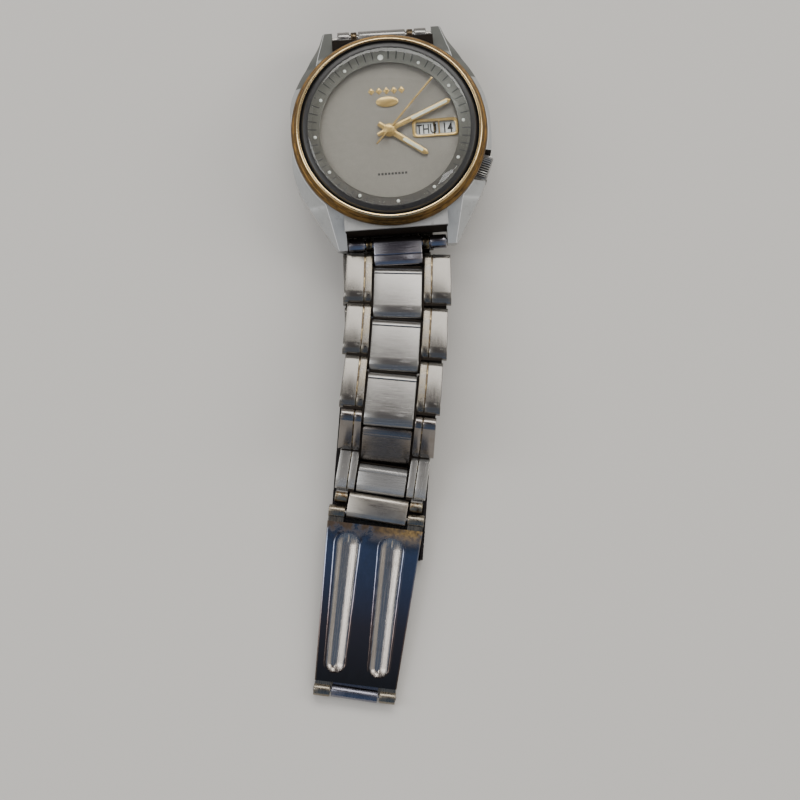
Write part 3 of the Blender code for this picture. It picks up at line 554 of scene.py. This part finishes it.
def row(name, near, far, last=False):
    """Outer links with their gold strips, and the centre link, in the row's own pin frame."""
    matrix = PLACES[name]
    pitch = LAST_PITCH if last else PITCH
    end = -(pitch - (2.6 if last else 2 * LINK_R + 0.35))
    bm = bmesh.new()
    for side in (-1, 1):
        stations = [(side * x, inset) for x, inset in bevelled(6.08, near, 0.1)]
        slab(bm, sorted(stations), 0, end, LINK_R, roll=2.1)
    taper(bm, near, far, pitch)
    rivet = -4.6 * pitch / PITCH
    for y in (0, rivet):
        rod(bm, 0.45, (-6.4, y, 0), (6.4, y, 0))
    if last:
        tubes = bmesh.new()
        for low, high in both_sides(5.6, far - 0.05):
            slab(tubes, bevelled(low, high, 0.12), -pitch + 0.01, -pitch, 0.95)
            slab(bm, [(low + 0.1, 0), (high - 0.1, 0)], end, -pitch, 0.45)
        place(f"{name}_tubes", tubes, name, RUSTY_TUBE, matrix)
    long_look, cross_look, strip_look = LINK_LOOKS.get(name, (LENGTHWISE, LATERAL, STRIP_PALE))
    place(f"{name}_outer_links", bm, name, long_look, matrix, f"{name}_sides")
    bm = bmesh.new()
    for low, high in both_sides(4.65, 5.9):
        slab(bm, bevelled(low, high, 0.12), 0, end, LINK_R - 0.02, roll=2.1)
    place(f"{name}_gold_strips", bm, name, strip_look, matrix, slot="gold_plate")
    bm = bmesh.new()
    for low, high in both_sides(5.86, 6.12):
        slab(bm, [(low, 0), (high, 0)], 0, end, LINK_R - 0.12, roll=2.0)
    place(f"{name}_gold_lines", bm, name, STRIP_GOLD, matrix, slot="gold_plate")
    bm = bmesh.new()
    start = -(2 * LINK_R + 0.35)
    finish = end if last else -pitch
    slab(bm, bevelled(-CENTRE_HALF, CENTRE_HALF, 0.15), start, finish, LINK_R, start - 0.2,
         None if last else 2.3)
    place(f"{name}_centre_link", bm, name, cross_look, matrix, f"{name}_centre")
    # Near-black rods and boxes in the gaps beside the centre link and between the rows: painted shade
    # in the gaps.
    bm = bmesh.new()
    for low, high in both_sides(4.31, 4.64):
        rod(bm, 1.0, (low, 0, 0), (high, 0, 0))
    for low, high in both_sides(4.31, 4.72):
        block(bm, (low, finish - 0.2, -1.0), (high, start + 1.2, 0.75))
    for low, high in both_sides(4.7, far - 0.2):
        block(bm, (low, end - 1.55, -0.9), (high, end - 0.9, 0.45))
    block(bm, (-4.2, -1.58, -0.9), (4.2, -1.3, 0.45))
    place(f"{name}_grime", bm, name, PAINTED_SHADE_BLACK, matrix, slot="seal_rubber")


def end_link(name):
    """Barrel on the spring bar, ringed with gold, and the tongue that carries the first row."""
    matrix = PLACES[name]
    bm = bmesh.new()
    slab(bm, bevelled(-CENTRE_HALF, CENTRE_HALF, 0.15), 0, -3.1, LINK_R, -2.2)
    for low, high in both_sides(5.9, 8.8 if name == "front_end" else 8.1):
        slab(bm, bevelled(low, high, 0.15), 0.01, 0, LINK_R)
    for low, high in both_sides(4.2, 6.0):
        rod(bm, 0.8, (low, 0, 0), (high, 0, 0))
    look = END_STEEL if name == "front_end" else LATERAL
    place(f"{name}_barrel", bm, name, look, matrix, f"{name}_link")
    bm = bmesh.new()
    for low, high in both_sides(4.55, 5.65):
        slab(bm, bevelled(low, high, 0.14), 0.01, 0, LINK_R - 0.08)
    place(f"{name}_gold_rings", bm, name, STRIP_GOLD, matrix, slot="gold_plate")


for chain in (FRONT, BACK):
    end_link(chain[0])
    for index, name in enumerate(chain[1:], 1):
        near = HALF_WIDTHS[min(index, 6) - 1]
        far = HALF_WIDTHS[min(index + 1, 6) - 1]
        row(name, near, far, last=name == "front_row_5")


# ---------------------------------------------------------------- clasp
def groove_height(x, y):
    """Pressed trough, steep on its left and shallow on its right: height over the blade's face."""
    share = min(1, max(0, (-4.2 - y) / 23.6))
    for top, foot in ((-4.4, -4.0), (3.4, 3.73)):
        half = 2.1 - 0.45 * share
        off = (x - top - (foot - top) * share) / half
        past = max(0, y + 5.6, -26.6 - y) / half
        reach = math.hypot(off, past)
        if reach < 1:
            floor_end = 0.35 if off < 0 else 0.0
            slope = max(0, (reach - floor_end) / (1 - floor_end))
            return -0.34 * (0.5 + 0.5 * math.cos(math.pi * slope))
        if reach < 1.22:
            return 0.07 * math.sin(math.pi * (reach - 1) / 0.22)
    return 0.0


def build_inner_blade():
    """Plate with its two pressed troughs, and the knuckles at both ends."""
    matrix = PLACES["inner_blade"]
    top, foot = -1.8, -BLADE_LENGTH + 1.6
    columns, rows = 136, 108
    bm = bmesh.new()
    upper, lower = [], []
    for r in range(rows + 1):
        y = top + (foot - top) * r / rows
        share = (y - top) / (foot - top)
        half = BLADE_TOP + (BLADE_FOOT - BLADE_TOP) * share
        up, down = [], []
        for c in range(columns + 1):
            x = -half + 2 * half * c / columns
            edge = min(1, (half - abs(x)) / 0.25)
            lip = -0.12 * (1 - edge) ** 2
            height = groove_height(x, y)
            up.append(bm.verts.new((x, y, 0.6 + height + lip)))
            down.append(bm.verts.new((x, y, 0.17 + height)))
        upper.append(up)
        lower.append(down)
    for r in range(rows):
        for c in range(columns):
            face = bm.faces.new((upper[r][c], upper[r + 1][c], upper[r + 1][c + 1],
                                 upper[r][c + 1]))
            middle = face.calc_center_median()
            face.material_index = 1 if groove_height(middle.x, middle.y) < -0.004 else 0
            bm.faces.new((lower[r][c], lower[r][c + 1], lower[r + 1][c + 1], lower[r + 1][c]))
    rim = [(upper[0], lower[0]), (upper[-1], lower[-1]),
           ([up[0] for up in upper], [down[0] for down in lower]),
           ([up[-1] for up in upper], [down[-1] for down in lower])]
    for first, second in rim:
        for i in range(len(first) - 1):
            bm.faces.new((first[i], first[i + 1], second[i + 1], second[i]))
    trough = brushed("trough_steel", (0.53, 0.475, 0.42), (6000, 120, 6000), 0.12, 0.32, 0.03)
    place("inner_blade_plate", bm, "inner_blade", [blade_material(), trough], matrix,
          "inner_blade", "polished_steel", smooth=50)
    bm = bmesh.new()
    for y, toward, inner, outer in ((0, top - 0.6, 5.6, BLADE_TOP),
                                    (-BLADE_LENGTH, foot + 0.6, 4.4, BLADE_FOOT)):
        for low, high in both_sides(inner, outer):
            slab(bm, bevelled(low, high, 0.12), y + 0.005, y - 0.005, 1.1)
            strap = [(low + 0.1, y), (high - 0.1, y), (high - 0.1, toward), (low + 0.1, toward)]
            prism(bm, strap, 0.08, 0.5)
    place("inner_blade_knuckles", bm, "inner_blade",
          brushed("knuckle_steel", (0.27, 0.24, 0.19), (4000, 400, 4000), 0.2, 0.4,
                  dirt=(0.20, 0.11, 0.04)), matrix, slot="polished_steel")


def build_connector():
    """Short rounded block between the last row and the inner blade."""
    bm = bmesh.new()
    slab(bm, bevelled(-5.3, 5.3, 0.15), 0, -2.5, 1.05)
    place("connector_block", bm, "connector",
          brushed("connector_steel", (0.45, 0.415, 0.36), (300, 12000, 12000), 0.25, 0.42,
                  dirt=(0.14, 0.09, 0.05)), PLACES["connector"], "connector", "polished_steel")


def build_middle_blade():
    """Narrow flat blade with a wide knuckle at its hinge and a narrow one at the cover."""
    bm = bmesh.new()
    outline = arc_points([(-5.5, -23.5), (5.5, -23.5), (5.5, -2.0), (-5.5, -2.0)], 1.2)
    prism(bm, outline, -0.75, -0.2, 0.08)
    for y, half, radius, inward in ((0, 4.1, 1.1, -1), (-25.5, 3.0, 0.9, 1)):
        slab(bm, bevelled(-half, half, 0.12), y + 0.005, y - 0.005, radius)
        low, high = sorted((y, y + inward * 3.0))
        strap = [(-half + 0.1, low), (half - 0.1, low), (half - 0.1, high), (-half + 0.1, high)]
        prism(bm, strap, -0.7, -0.25)
    # The hinge steel's faint blue tint is painted reflection.
    hinge = polished("hinge_steel", (0.22, 0.22, 0.26), 0.2, 0.34)
    place("middle_blade_plate", bm, "middle_blade", hinge, PLACES["middle_blade"],
          "middle_blade", "polished_steel")


def build_cover():
    """Channel with rounded outer corners and its ends, with black discs on its walls where the
    adjustment holes are: painted shade for the holes.
    """
    matrix = PLACES["cover"]
    outside = arc_points([(-8.4, 1.05), (-8.4, -1.75), (8.4, -1.75), (8.4, 1.05)], [0, 0.7, 0.7, 0])
    inside = arc_points([(7.9, 1.05), (7.9, -1.2), (-7.9, -1.2), (-7.9, 1.05)], [0, 0.3, 0.3, 0])
    section = outside + inside
    rings = []
    for y, inset in ((1.2, 0.08), (1.12, 0), (-29.95, 0), (-30.03, 0.08)):
        ring = []
        for index, (x, z) in enumerate(section):
            grow = -inset if index < len(outside) else inset
            ring.append((x * (1 + grow / 8), y, z))
        rings.append(ring)
    bm = bmesh.new()
    loft(bm, rings)
    for low, high in both_sides(3.3, 5.0):
        slab(bm, bevelled(low, high, 0.1), 0.005, -0.005, 0.9)
        foot = [(low, -0.6), (high, -0.6), (high, 0.6), (low, 0.6)]
        prism(bm, foot, -1.35, -0.2)
    # The cover's steel is tinted near black: painted shade on the cover's walls.
    place("cover_shell", bm, "cover", brushed("cover_steel", (0.10, 0.095, 0.09),
          (14000, 300, 14000), 0.16, 0.32), matrix, "clasp_cover", "polished_steel")
    # Black discs where the adjustment holes are: painted shade.
    bm = bmesh.new()
    for side in (-1, 1):
        for step in range(4):
            y = -28.8 + 2.6 * step
            rod(bm, 0.42, (side * 8.37, y, 0), (side * 8.42, y, 0), 20)
    place("cover_adjusting_holes", bm, "cover", BLACK_AND_PAINTED_SHADE, matrix, slot="polished_steel")


build_inner_blade()
build_connector()
build_middle_blade()
build_cover()


# ---------------------------------------------------------------- case
def spline(points, steps=6):
    """Catmull-Rom curve through points, ends included."""
    made = []
    padded = [points[0]] + list(points) + [points[-1]]
    for i in range(1, len(padded) - 2):
        p0, p1, p2, p3 = (Vector(p) for p in padded[i - 1:i + 3])
        for step in range(steps):
            t = step / steps
            point = (p1 * 2 + (p2 - p0) * t + (p0 * 2 - p1 * 5 + p2 * 4 - p3) * t ** 2
                     + (p1 * 3 - p0 - p2 * 3 + p3) * t ** 3) / 2
            made.append(tuple(point))
    made.append(tuple(points[-1]))
    return made


def case_top(y):
    """Height of the case's top face: flat round the bezel, easing into the fall of the lugs."""
    past = max(0, abs(y) - 13.0)
    return CASE_TOP - 0.671 * (past ** 2 / 4 if past < 2 else past - 1)


def case_wall(wide):
    """Outer wall of the case from the lower lug tip to the upper, this wide at the middle."""
    upper = [(wide, 0.0), (wide, 2.5), (17.2, 6.5), (15.5, 10.4), (13.2, 14.2), (11.6, 17.2),
             (10.8, 19.9), (10.5, 20.3)]
    lower = [(wide, 0.0), (wide, 2.5), (17.6, 6.5), (16.4, 10.4), (14.4, 14.2), (12.6, 17.2),
             (11.0, 19.9), (10.6, 20.3)]
    return [(x, -y) for x, y in reversed(spline(lower, 14)[1:])] + spline(upper, 14)


def facet_edge(y):
    """Where the top face meets the outer facet: under the bezel, then straight to the lug tip."""
    if abs(y) < 12.7:
        return math.sqrt((RING_R + 0.1) ** 2 - y * y)
    return 12.2 - (abs(y) - 12.7) * 0.23


def crown_recess(x, y):
    """The wall's x where the case is cut away round the crown, else x itself."""
    cos, sin = math.cos(CROWN_TURN), math.sin(CROWN_TURN)
    if y > 0 or abs(y * cos - x * sin) > CROWN_R + 0.15:
        return x
    return (16.6 - y * sin) / cos


def build_case():
    """Each half is lofted along Y: rings run from the bore out to the wall and back over the top."""
    bm = bmesh.new()
    for side in (-1, 1):
        rings = []
        for x, y in case_wall(18.1 if side > 0 else 17.55):
            top = case_top(y)
            inner = LUG_INSIDE if abs(y) > 14.6 else math.sqrt(BORE_R ** 2 - y * y)
            wide = max(0.2, x - facet_edge(y))
            cut = crown_recess(x, y) if side > 0 else x
            shelf = 1.35 if cut < x else 2.0
            wide = 0.1 if cut < x else wide
            inner = min(inner, cut - wide - 0.1)
            drop = min(1.6, wide * 0.8)
            ring = [(inner, CASE_LOW), (x - 0.7, CASE_LOW), (x, shelf), (x, shelf + 0.05),
                    (cut, shelf + 0.15), (cut, top - drop), (cut - wide + 0.07, top - 0.05),
                    (cut - wide, top), (inner, top)]
            rings.append([(side * px, y, pz) for px, pz in ring])
        # Slots round each ring: 0 the brushed sides, 2 the satin facet and top, 1 the narrow ridge
        # between them, pale as a painted highlight.
        loft(bm, rings, material=[0, 0, 0, 0, 0, 2, 1, 2, 0])
    for face in bm.faces:
        middle = face.calc_center_median()
        # Satin faces on the twelve o'clock half take the darker copy: painted shade.
        if face.material_index == 2 and middle.y > 9.0:
            face.material_index = 3
        elif middle.x > 12 and -9.8 < middle.y < -4.6:
            # Faces cut back round the crown are near black: painted shade in the recess.
            if crown_recess(middle.x, middle.y) != middle.x:
                face.material_index = 4
    looks = [CASE_SIDE, CASE_EDGE_HIGHLIGHT, CASE_SATIN, CASE_PAINTED_SHADE, PAINTED_SHADE_BLACK]
    bore_for_stem(place("case_shell", bm, "head", looks, head, "case_middle", smooth=24))
    bm = bmesh.new()
    block(bm, (-9.2, -17.7, 7.0), (9.2, -14.2, CASE_TOP))
    place("case_end", bm, "head", CASE_SATIN, head)
    bm = bmesh.new()
    block(bm, (-9.1, 17.5, 1.3), (9.1, 17.7, 6.5))
    place("case_far_wall", bm, "head", CASE_SIDE, head)
    # Near-black walls at both ends between the lugs: painted shade.
    bm = bmesh.new()
    for low, high in both_sides(14.2, 17.6):
        block(bm, (-9.1, low, CASE_LOW), (9.1, high, 7.0))
    place("case_end_walls", bm, "head", PAINTED_SHADE_BLACK, head)


def bore_for_stem(obj):
    """Cut the hole that the winding stem runs through."""
    x, y = math.cos(CROWN_TURN), math.sin(CROWN_TURN)
    bm = bmesh.new()
    rod(bm, STEM_BORE, (13.5 * x, 13.5 * y, STEM_Z), (17.4 * x, 17.4 * y, STEM_Z), 24)
    mesh = bpy.data.meshes.new("bore")
    bm.to_mesh(mesh)
    bm.free()
    mesh.transform(Matrix.Scale(MM, 4))
    cutter = bpy.data.objects.new("bore", mesh)
    bpy.context.scene.collection.objects.link(cutter)
    cutter.matrix_world = head
    cut = obj.modifiers.new("bore", "BOOLEAN")
    cut.object = cutter
    bpy.context.view_layer.update()
    evaluated = obj.evaluated_get(bpy.context.evaluated_depsgraph_get())
    bored = bpy.data.meshes.new_from_object(evaluated)
    obj.modifiers.remove(cut)
    obj.data = bored
    bpy.data.objects.remove(cutter)


build_case()
# Black lining of the case's bore: painted shade inside the case.
bm = bmesh.new()
turned(bm, [(BORE_R, 2.4), (15.75, 2.4), (15.75, 7.85), (BORE_R, 7.85)])
bore_for_stem(place("case_bore_wall", bm, "head", BLACK_AND_PAINTED_SHADE, head))

# bezel: worn flank, polished top ring and the black band inside it
bm = bmesh.new()
turned(bm, [(15.75, 7.9), (17.3, 7.9), (RING_R, 8.05), (RING_R, 8.55), (17.38, 8.8), (17.15, 9.15)],
       192, closed=False)
turned(bm, [(17.15, 9.15), (16.95, 9.2), (16.9, 9.45), (16.75, 9.75), (16.5, 10.05)], 192,
       closed=False)
turned(bm, [(16.5, 10.05), (16.38, 10.15), (16.2, 10.18), (16.02, 10.12), (15.95, 10.0)], 192,
       closed=False, material=1)
turned(bm, [(15.95, 10.0), (15.78, 9.7), (15.75, 7.9)], 192, closed=False, material=2)
place("bezel_ring", bm, "head", [BEZEL_GOLD, RING_GOLD, BLACK_AND_PAINTED_SHADE], head, "bezel", "gold_plate")

bm = bmesh.new()
turned(bm, [(14.96, 8.4), (15.7, 8.4), (15.7, 9.75), (15.3, 10.3), (14.7, 10.52), (14.45, 10.5),
            (14.9, 10.3)], 128)
place("crystal_seat", bm, "head", BLACK_AND_PAINTED_SHADE, head, "crystal_gasket", "seal_rubber")

bm = bmesh.new()
profile = [(0, 8.72), (14.6, 8.72), (14.7, 8.72), (14.93, 8.85), (14.95, 10.05), (14.8, 10.3),
           (14.5, 10.45), (13.9, 10.55), (11.0, 10.68), (7.0, 10.76), (0, 10.79)]
turned(bm, profile, 160)
place("crystal_dome", bm, "head", glass_material(), head, "crystal", "crystal_glass", smooth=20)

bm = bmesh.new()
turned(bm, [(0, 0), (12.6, 0), (12.9, 0.12), (13.2, 0.12), (13.9, 0.5), (14.7, 0.9), (14.7, 1.5),
            (0, 1.5)], 128)
place("case_back_plate", bm, "head", brushed("back_steel", (0.55, 0.54, 0.52), (500, 9000, 500)),
      head, "case_back", "brushed_steel")
# Black marks where the case back's notches are: painted shade in the notches.
bm = bmesh.new()
for step in range(6):
    turn = math.radians(60 * step + 30)
    at = Vector((math.cos(turn), math.sin(turn), 0))
    across = Vector((-at.y, at.x, 0)) * 0.9
    foot = [at * 12.95 - across, at * 12.95 + across, at * 13.75 + across, at * 13.75 - across]
    loft(bm, [[(p.x, p.y, z + 0.5 * max(0, p.length - 13.0)) for p in foot] for z in (0.1, 0.2)])
place("case_back_notches", bm, "head", BLACK_AND_PAINTED_SHADE, head)


# ---------------------------------------------------------------- dial
def towards_minute(minute):
    """Direction from the dial's centre to a minute of the chapter ring."""
    turn = math.pi / 2 - 2 * math.pi * minute / 60 + RING_TURN
    return Vector((math.cos(turn), math.sin(turn), 0))


bm = bmesh.new()
turned(bm, [(12.35, 7.5), (14.7, 7.5), (14.7, 8.35), (12.5, 7.98), (12.35, 7.9)], 192)
place("chapter_ring_cone", bm, "head", ring_material(), head, "chapter_ring", "ring_paint")

bm = bmesh.new()
for minute in range(60):
    low, high = (12.9, 14.3) if minute % 5 else (13.75, 14.3)
    out = towards_minute(minute)
    across = Vector((-out.y, out.x, 0)) * 0.09
    foot = [out * low - across, out * low + across, out * high + across, out * high - across]
    heights = [8.06, 8.06, 8.29, 8.29]
    rings = [[(p.x, p.y, z + lift) for p, z in zip(foot, heights)] for lift in (-0.04, 0.035)]
    loft(bm, rings)
place("minute_ticks", bm, "head", INK, head, slot="ring_paint")

bm = bmesh.new()
for minute in range(0, 60, 5):
    middle = towards_minute(minute) * 13.2
    size = 0.52 if minute == 0 else 0.30
    turned(bm, [(0, 8.36), (size * 0.5, 8.35), (size * 0.85, 8.28), (size, 8.1)], 20,
           closed=False, centre=(middle.x, middle.y))
place("hour_studs", bm, "head", STUD_WHITE, head, slot="dial_paint")


def window_frame():
    """Rounded gold frame with a bar between its two windows, and the windows' white walls."""
    bm = bmesh.new()
    outer = arc_points([(4.1, -1.65), (12.25, -1.65), (12.25, 1.65), (4.1, 1.65)], 0.8)
    stack(bm, [(outer, 6.76), (outer, 6.92), (shrink(outer, 0.1), 7.0), (shrink(outer, 0.3), 7.0),
               (shrink(outer, 0.5), 6.9), (shrink(outer, 0.5), 6.76)], closed=True)
    prism(bm, [(8.8, -1.2), (8.95, -1.2), (8.95, 1.2), (8.8, 1.2)], 6.78, 6.94, 0.02)
    place("day_date_surround", bm, "head", HAND_GOLD, head, "day_date_frame", "gold_plate")
    bm = bmesh.new()
    for low, high in ((4.55, 8.72), (9.02, 11.75)):
        hole = [(low, -1.2), (high, -1.2), (high, 1.2), (low, 1.2)]
        rings = [[(x, y, z) for x, y in hole] for z in (6.72, 6.9)]
        loft(bm, rings, caps=False)
    place("window_walls", bm, "head", WHITE, head, slot="disc_paint")


def shrink(outline, distance):
    """Move an outline round its middle inwards by about a distance."""
    cx = sum(x for x, _ in outline) / len(outline)
    cy = sum(y for _, y in outline) / len(outline)
    wide = max(abs(x - cx) for x, _ in outline)
    tall = max(abs(y - cy) for _, y in outline)
    return [(cx + (x - cx) * (1 - distance / wide), cy + (y - cy) * (1 - distance / tall))
            for x, y in outline]


def emblem():
    """Plain applied oval with a row of lozenges over it: generic marks in the badge's place."""
    bm = bmesh.new()
    oval = [(2.0 * math.cos(t / 16 * math.pi), 5.35 + 0.95 * math.sin(t / 16 * math.pi))
            for t in range(32)]
    stack(bm, [(oval, 6.74), (oval, 6.95), (shrink(oval, 0.18), 7.02)])
    for step in range(5):
        middle = (step - 2) * 1.35
        lozenge = [(middle - 0.6, 7.4), (middle, 6.7), (middle + 0.6, 7.4), (middle, 8.1)]
        stack(bm, [(lozenge, 6.72), (lozenge, 6.8), (shrink(lozenge, 0.15), 6.86)])
    place("dial_emblem", bm, "head", HAND_GOLD, head, "emblem", "gold_plate")
    bm = bmesh.new()
    for step in range(9):
        middle = (step - 4) * 0.6
        block(bm, (middle - 0.2, -8.0, 6.69), (middle + 0.2, -7.6, 6.73))
    place("dial_dashes", bm, "head", INK, head, slot="dial_paint")


window_frame()
emblem()


def numerals(words, radius, height, body, name, size):
    """Generic words or numbers set round a calendar disc, upright when they come to 3 o'clock."""
    bm = bmesh.new()
    for index, word in enumerate(words):
        curve = bpy.data.curves.new("word", "FONT")
        curve.body = word
        curve.size = size
        curve.extrude = 0.01
        curve.offset = 0.035
        curve.align_x, curve.align_y = "CENTER", "CENTER"
        holder = bpy.data.objects.new("word", curve)
        bpy.context.scene.collection.objects.link(holder)
        bpy.context.view_layer.update()
        evaluated = holder.evaluated_get(bpy.context.evaluated_depsgraph_get())
        mesh = bpy.data.meshes.new_from_object(evaluated)
        mesh.transform(Matrix.Diagonal((0.74, 1, 1, 1)))
        mesh.transform(Matrix.Translation((radius, 0, height)))
        mesh.transform(Matrix.Rotation(2 * math.pi * index / len(words), 4, "Z"))
        bm.from_mesh(mesh)
        bpy.data.objects.remove(holder)
        bpy.data.curves.remove(curve)
    place(name, bm, body, INK, head, slot="disc_paint")


DATES = [str((13 + n) % 31 + 1) for n in range(31)]
DAYS = ["THU", "FRI", "SAT", "SUN", "MON", "TUE", "WED"]
numerals(DATES, 10.35, 5.965, "date_disc", "date_numerals", 2.6)
numerals(DAYS, 6.65, 5.965, "day_disc", "day_names", 2.45)


# ---------------------------------------------------------------- hands and crown
def hand(name, node, body, angle, length, tail, half, low, hub):
    """Baton hand with a ridge along it, a lume strip on its outer part and a round hub."""
    matrix = head @ Matrix.Rotation(math.radians(angle), 4, "Z")
    bm = bmesh.new()
    outline = [(-half * 0.8, -tail), (half * 0.8, -tail), (half, 0), (half, length - 1.2 * half),
               (0, length), (-half, length - 1.2 * half), (-half, 0)]
    inner = [(x * 0.72, y * 0.985) for x, y in outline]
    stack(bm, [(outline, low), (outline, low + 0.13), (inner, low + 0.2)])
    turned(bm, [(0.05, low), (hub, low), (hub, low + 0.16), (hub - 0.12, low + 0.22),
                (0.05, low + 0.22)], 40)
    place(name, bm, body, HAND_GOLD, matrix, node, "gold_plate")
    if half < 0.3:
        return
    bm = bmesh.new()
    start, finish = length * 0.36, length * (0.86 if body == "hour_hand" else 0.94)
    strip = arc_points([(-half * 0.58, start), (half * 0.58, start), (half * 0.5, finish),
                        (-half * 0.5, finish)], 0.12)
    prism(bm, strip, low + 0.12, low + 0.225, 0.02)
    place(f"{name}_lume", bm, body, LUME, matrix, slot="dial_paint")


hand("hour_baton", "hour_hand", "hour_hand", -126, 8.2, 2.3, 0.52, 7.15, 1.2)
hand("minute_baton", "minute_hand", "minute_hand", -67, 12.2, 2.3, 0.46, 7.55, 1.05)
hand("second_needle", "second_hand", "second_hand", -43, 12.2, 3.6, 0.16, 8.0, 0.75)

crown_axis = Vector(JOINTS["crown_turn"]["axis"])
crown_place = Matrix.Translation(pin_of("crown_turn"))
crown_place = crown_place @ crown_axis.to_track_quat("Z", "Y").to_matrix().to_4x4()
bm = bmesh.new()
teeth = 32
rings = []
for z, scale, deep in ((16.9, 0.9, 0.4), (17.05, 0.98, 1), (18.7, 1.0, 1), (18.95, 0.93, 0.5),
                       (19.1, 0.8, 0)):
    ring = []
    for step in range(4 * teeth):
        cut = 0.3 * deep * (0.5 - 0.5 * math.cos(2 * math.pi * step / 4))
        radius = CROWN_R * scale - cut
        turn = 2 * math.pi * step / (4 * teeth)
        ring.append((radius * math.cos(turn), radius * math.sin(turn), z))
    rings.append(ring)
# The faces down in the knurling's grooves take the black: painted shade in the grooves.
loft(bm, rings, material=[0, 1, 1, 0])
place("crown_knurled", bm, "crown", [CROWN_STEEL, BLACK_AND_PAINTED_SHADE], crown_place, "crown", "gold_plate")


# ---------------------------------------------------------------- materials of the CAD nodes
CAD_LOOKS = (
    (CASE_SIDE, ("train_bridge", "rotor")),
    (PIN_STEEL, ("spring_bar_12", "spring_bar_6", "connector_pin", "blade_hinge_pin",
                 "adjustment_spring_bar", "winding_stem")),
    (BRASS, ("main_plate", "mainspring_barrel", "centre_wheel", "balance_wheel")),
    (WHITE, ("day_disc", "date_disc")),
    (RUBBER, ("case_back_gasket", "crystal_gasket")),
    (PLASTIC, ("movement_holder",)),
    (dial_material(), ("dial",)),
)
for look, nodes in CAD_LOOKS:
    for node in nodes:
        frame["nodes"][node].data.materials[0] = look


# ---------------------------------------------------------------- stage, light and camera
def flat_sheet(name, width, depth, location, material):
    """Flat rectangle for the floor and the cards round the object."""
    bm = bmesh.new()
    bmesh.ops.create_grid(bm, x_segments=1, y_segments=1, size=0.5)
    mesh = bpy.data.meshes.new(name)
    bm.to_mesh(mesh)
    bm.free()
    mesh.materials.append(material)
    sheet = bpy.data.objects.new(name, mesh)
    bpy.context.scene.collection.objects.link(sheet)
    sheet.scale = (width, depth, 1)
    sheet.location = location
    return sheet


flat_sheet("floor", 4.0, 4.0, (0, 0, 0),
           Shade("floor_pale", (0.57, 0.555, 0.53), 0.0, 0.85).material)


def flag(name, location, size, colour, upright=False):
    """A card of the room round the object, seen only in its reflections."""
    material = bpy.data.materials.new(name)
    material.use_nodes = True
    tree = material.node_tree
    glow = tree.nodes.new("ShaderNodeEmission")
    glow.inputs["Color"].default_value = (*colour, 1)
    tree.links.new(glow.outputs[0], tree.nodes["Material Output"].inputs["Surface"])
    card = flat_sheet(name, *size, location, material)
    card.rotation_euler.x = math.radians(90 if upright else 0)
    card.visible_camera = False
    card.visible_diffuse = False
    card.visible_shadow = False


flag("flag_person", (0, -0.19, 0.345), (0.35, 0.26), (0.13, 0.18, 0.28))
flag("flag_wall", (0, -0.33, 0.175), (0.34, 0.34), (0.15, 0.22, 0.36), upright=True)
flag("glint_card", (0.075, 0.075, 0.335), (0.04, 0.018), (5, 5, 5))
flag("flag_hands", (0.01, 0.06, 0.345), (0.22, 0.23), (0.085, 0.075, 0.09))


def area(name, location, size, power, colour):
    """Soft rectangular lamp aimed at the origin."""
    data = bpy.data.lights.new(name, "AREA")
    data.shape = "RECTANGLE"
    data.size, data.size_y = size
    data.energy = power
    data.color = colour
    lamp = bpy.data.objects.new(name, data)
    bpy.context.scene.collection.objects.link(lamp)
    lamp.location = location
    lamp.rotation_euler = (-Vector(location)).to_track_quat("-Z", "Y").to_euler()
    return lamp


area("key", (0.1, 0.95, 1.05), (1.3, 0.5), 11.0, (1.0, 0.98, 0.95))
area("fill", (-0.9, 0.1, 0.9), (0.5, 0.9), 5.0, (0.95, 0.97, 1.0))
front = area("front", (0.15, -1.1, 0.9), (1.2, 0.5), 5.0, (1.0, 0.98, 0.95))
front.visible_glossy = False
area("rim", (0.9, 0.2, 0.7), (0.4, 0.6), 3.0, (1.0, 0.98, 0.95))

world = bpy.data.worlds.new("studio")
bpy.context.scene.world = world
world.use_nodes = True
world.node_tree.nodes["Background"].inputs["Color"].default_value = (1.0, 0.985, 0.965, 1)
world.node_tree.nodes["Background"].inputs["Strength"].default_value = 0.5

shift = head.translation - Vector((-1.9, 46.7, 4.9)) * MM
camera_data = bpy.data.cameras.new("camera")
camera_data.sensor_width = 36
camera_data.lens = 1820 * 36 / 800      # 1820 px
camera_data.clip_start = 0.01
camera = bpy.data.objects.new("camera", camera_data)
bpy.context.scene.collection.objects.link(camera)
camera.location = Vector((0, -48.8, 326.4)) * MM + shift
camera.rotation_euler = (shift - camera.location).to_track_quat("-Z", "Y").to_euler()
bpy.context.scene.camera = camera
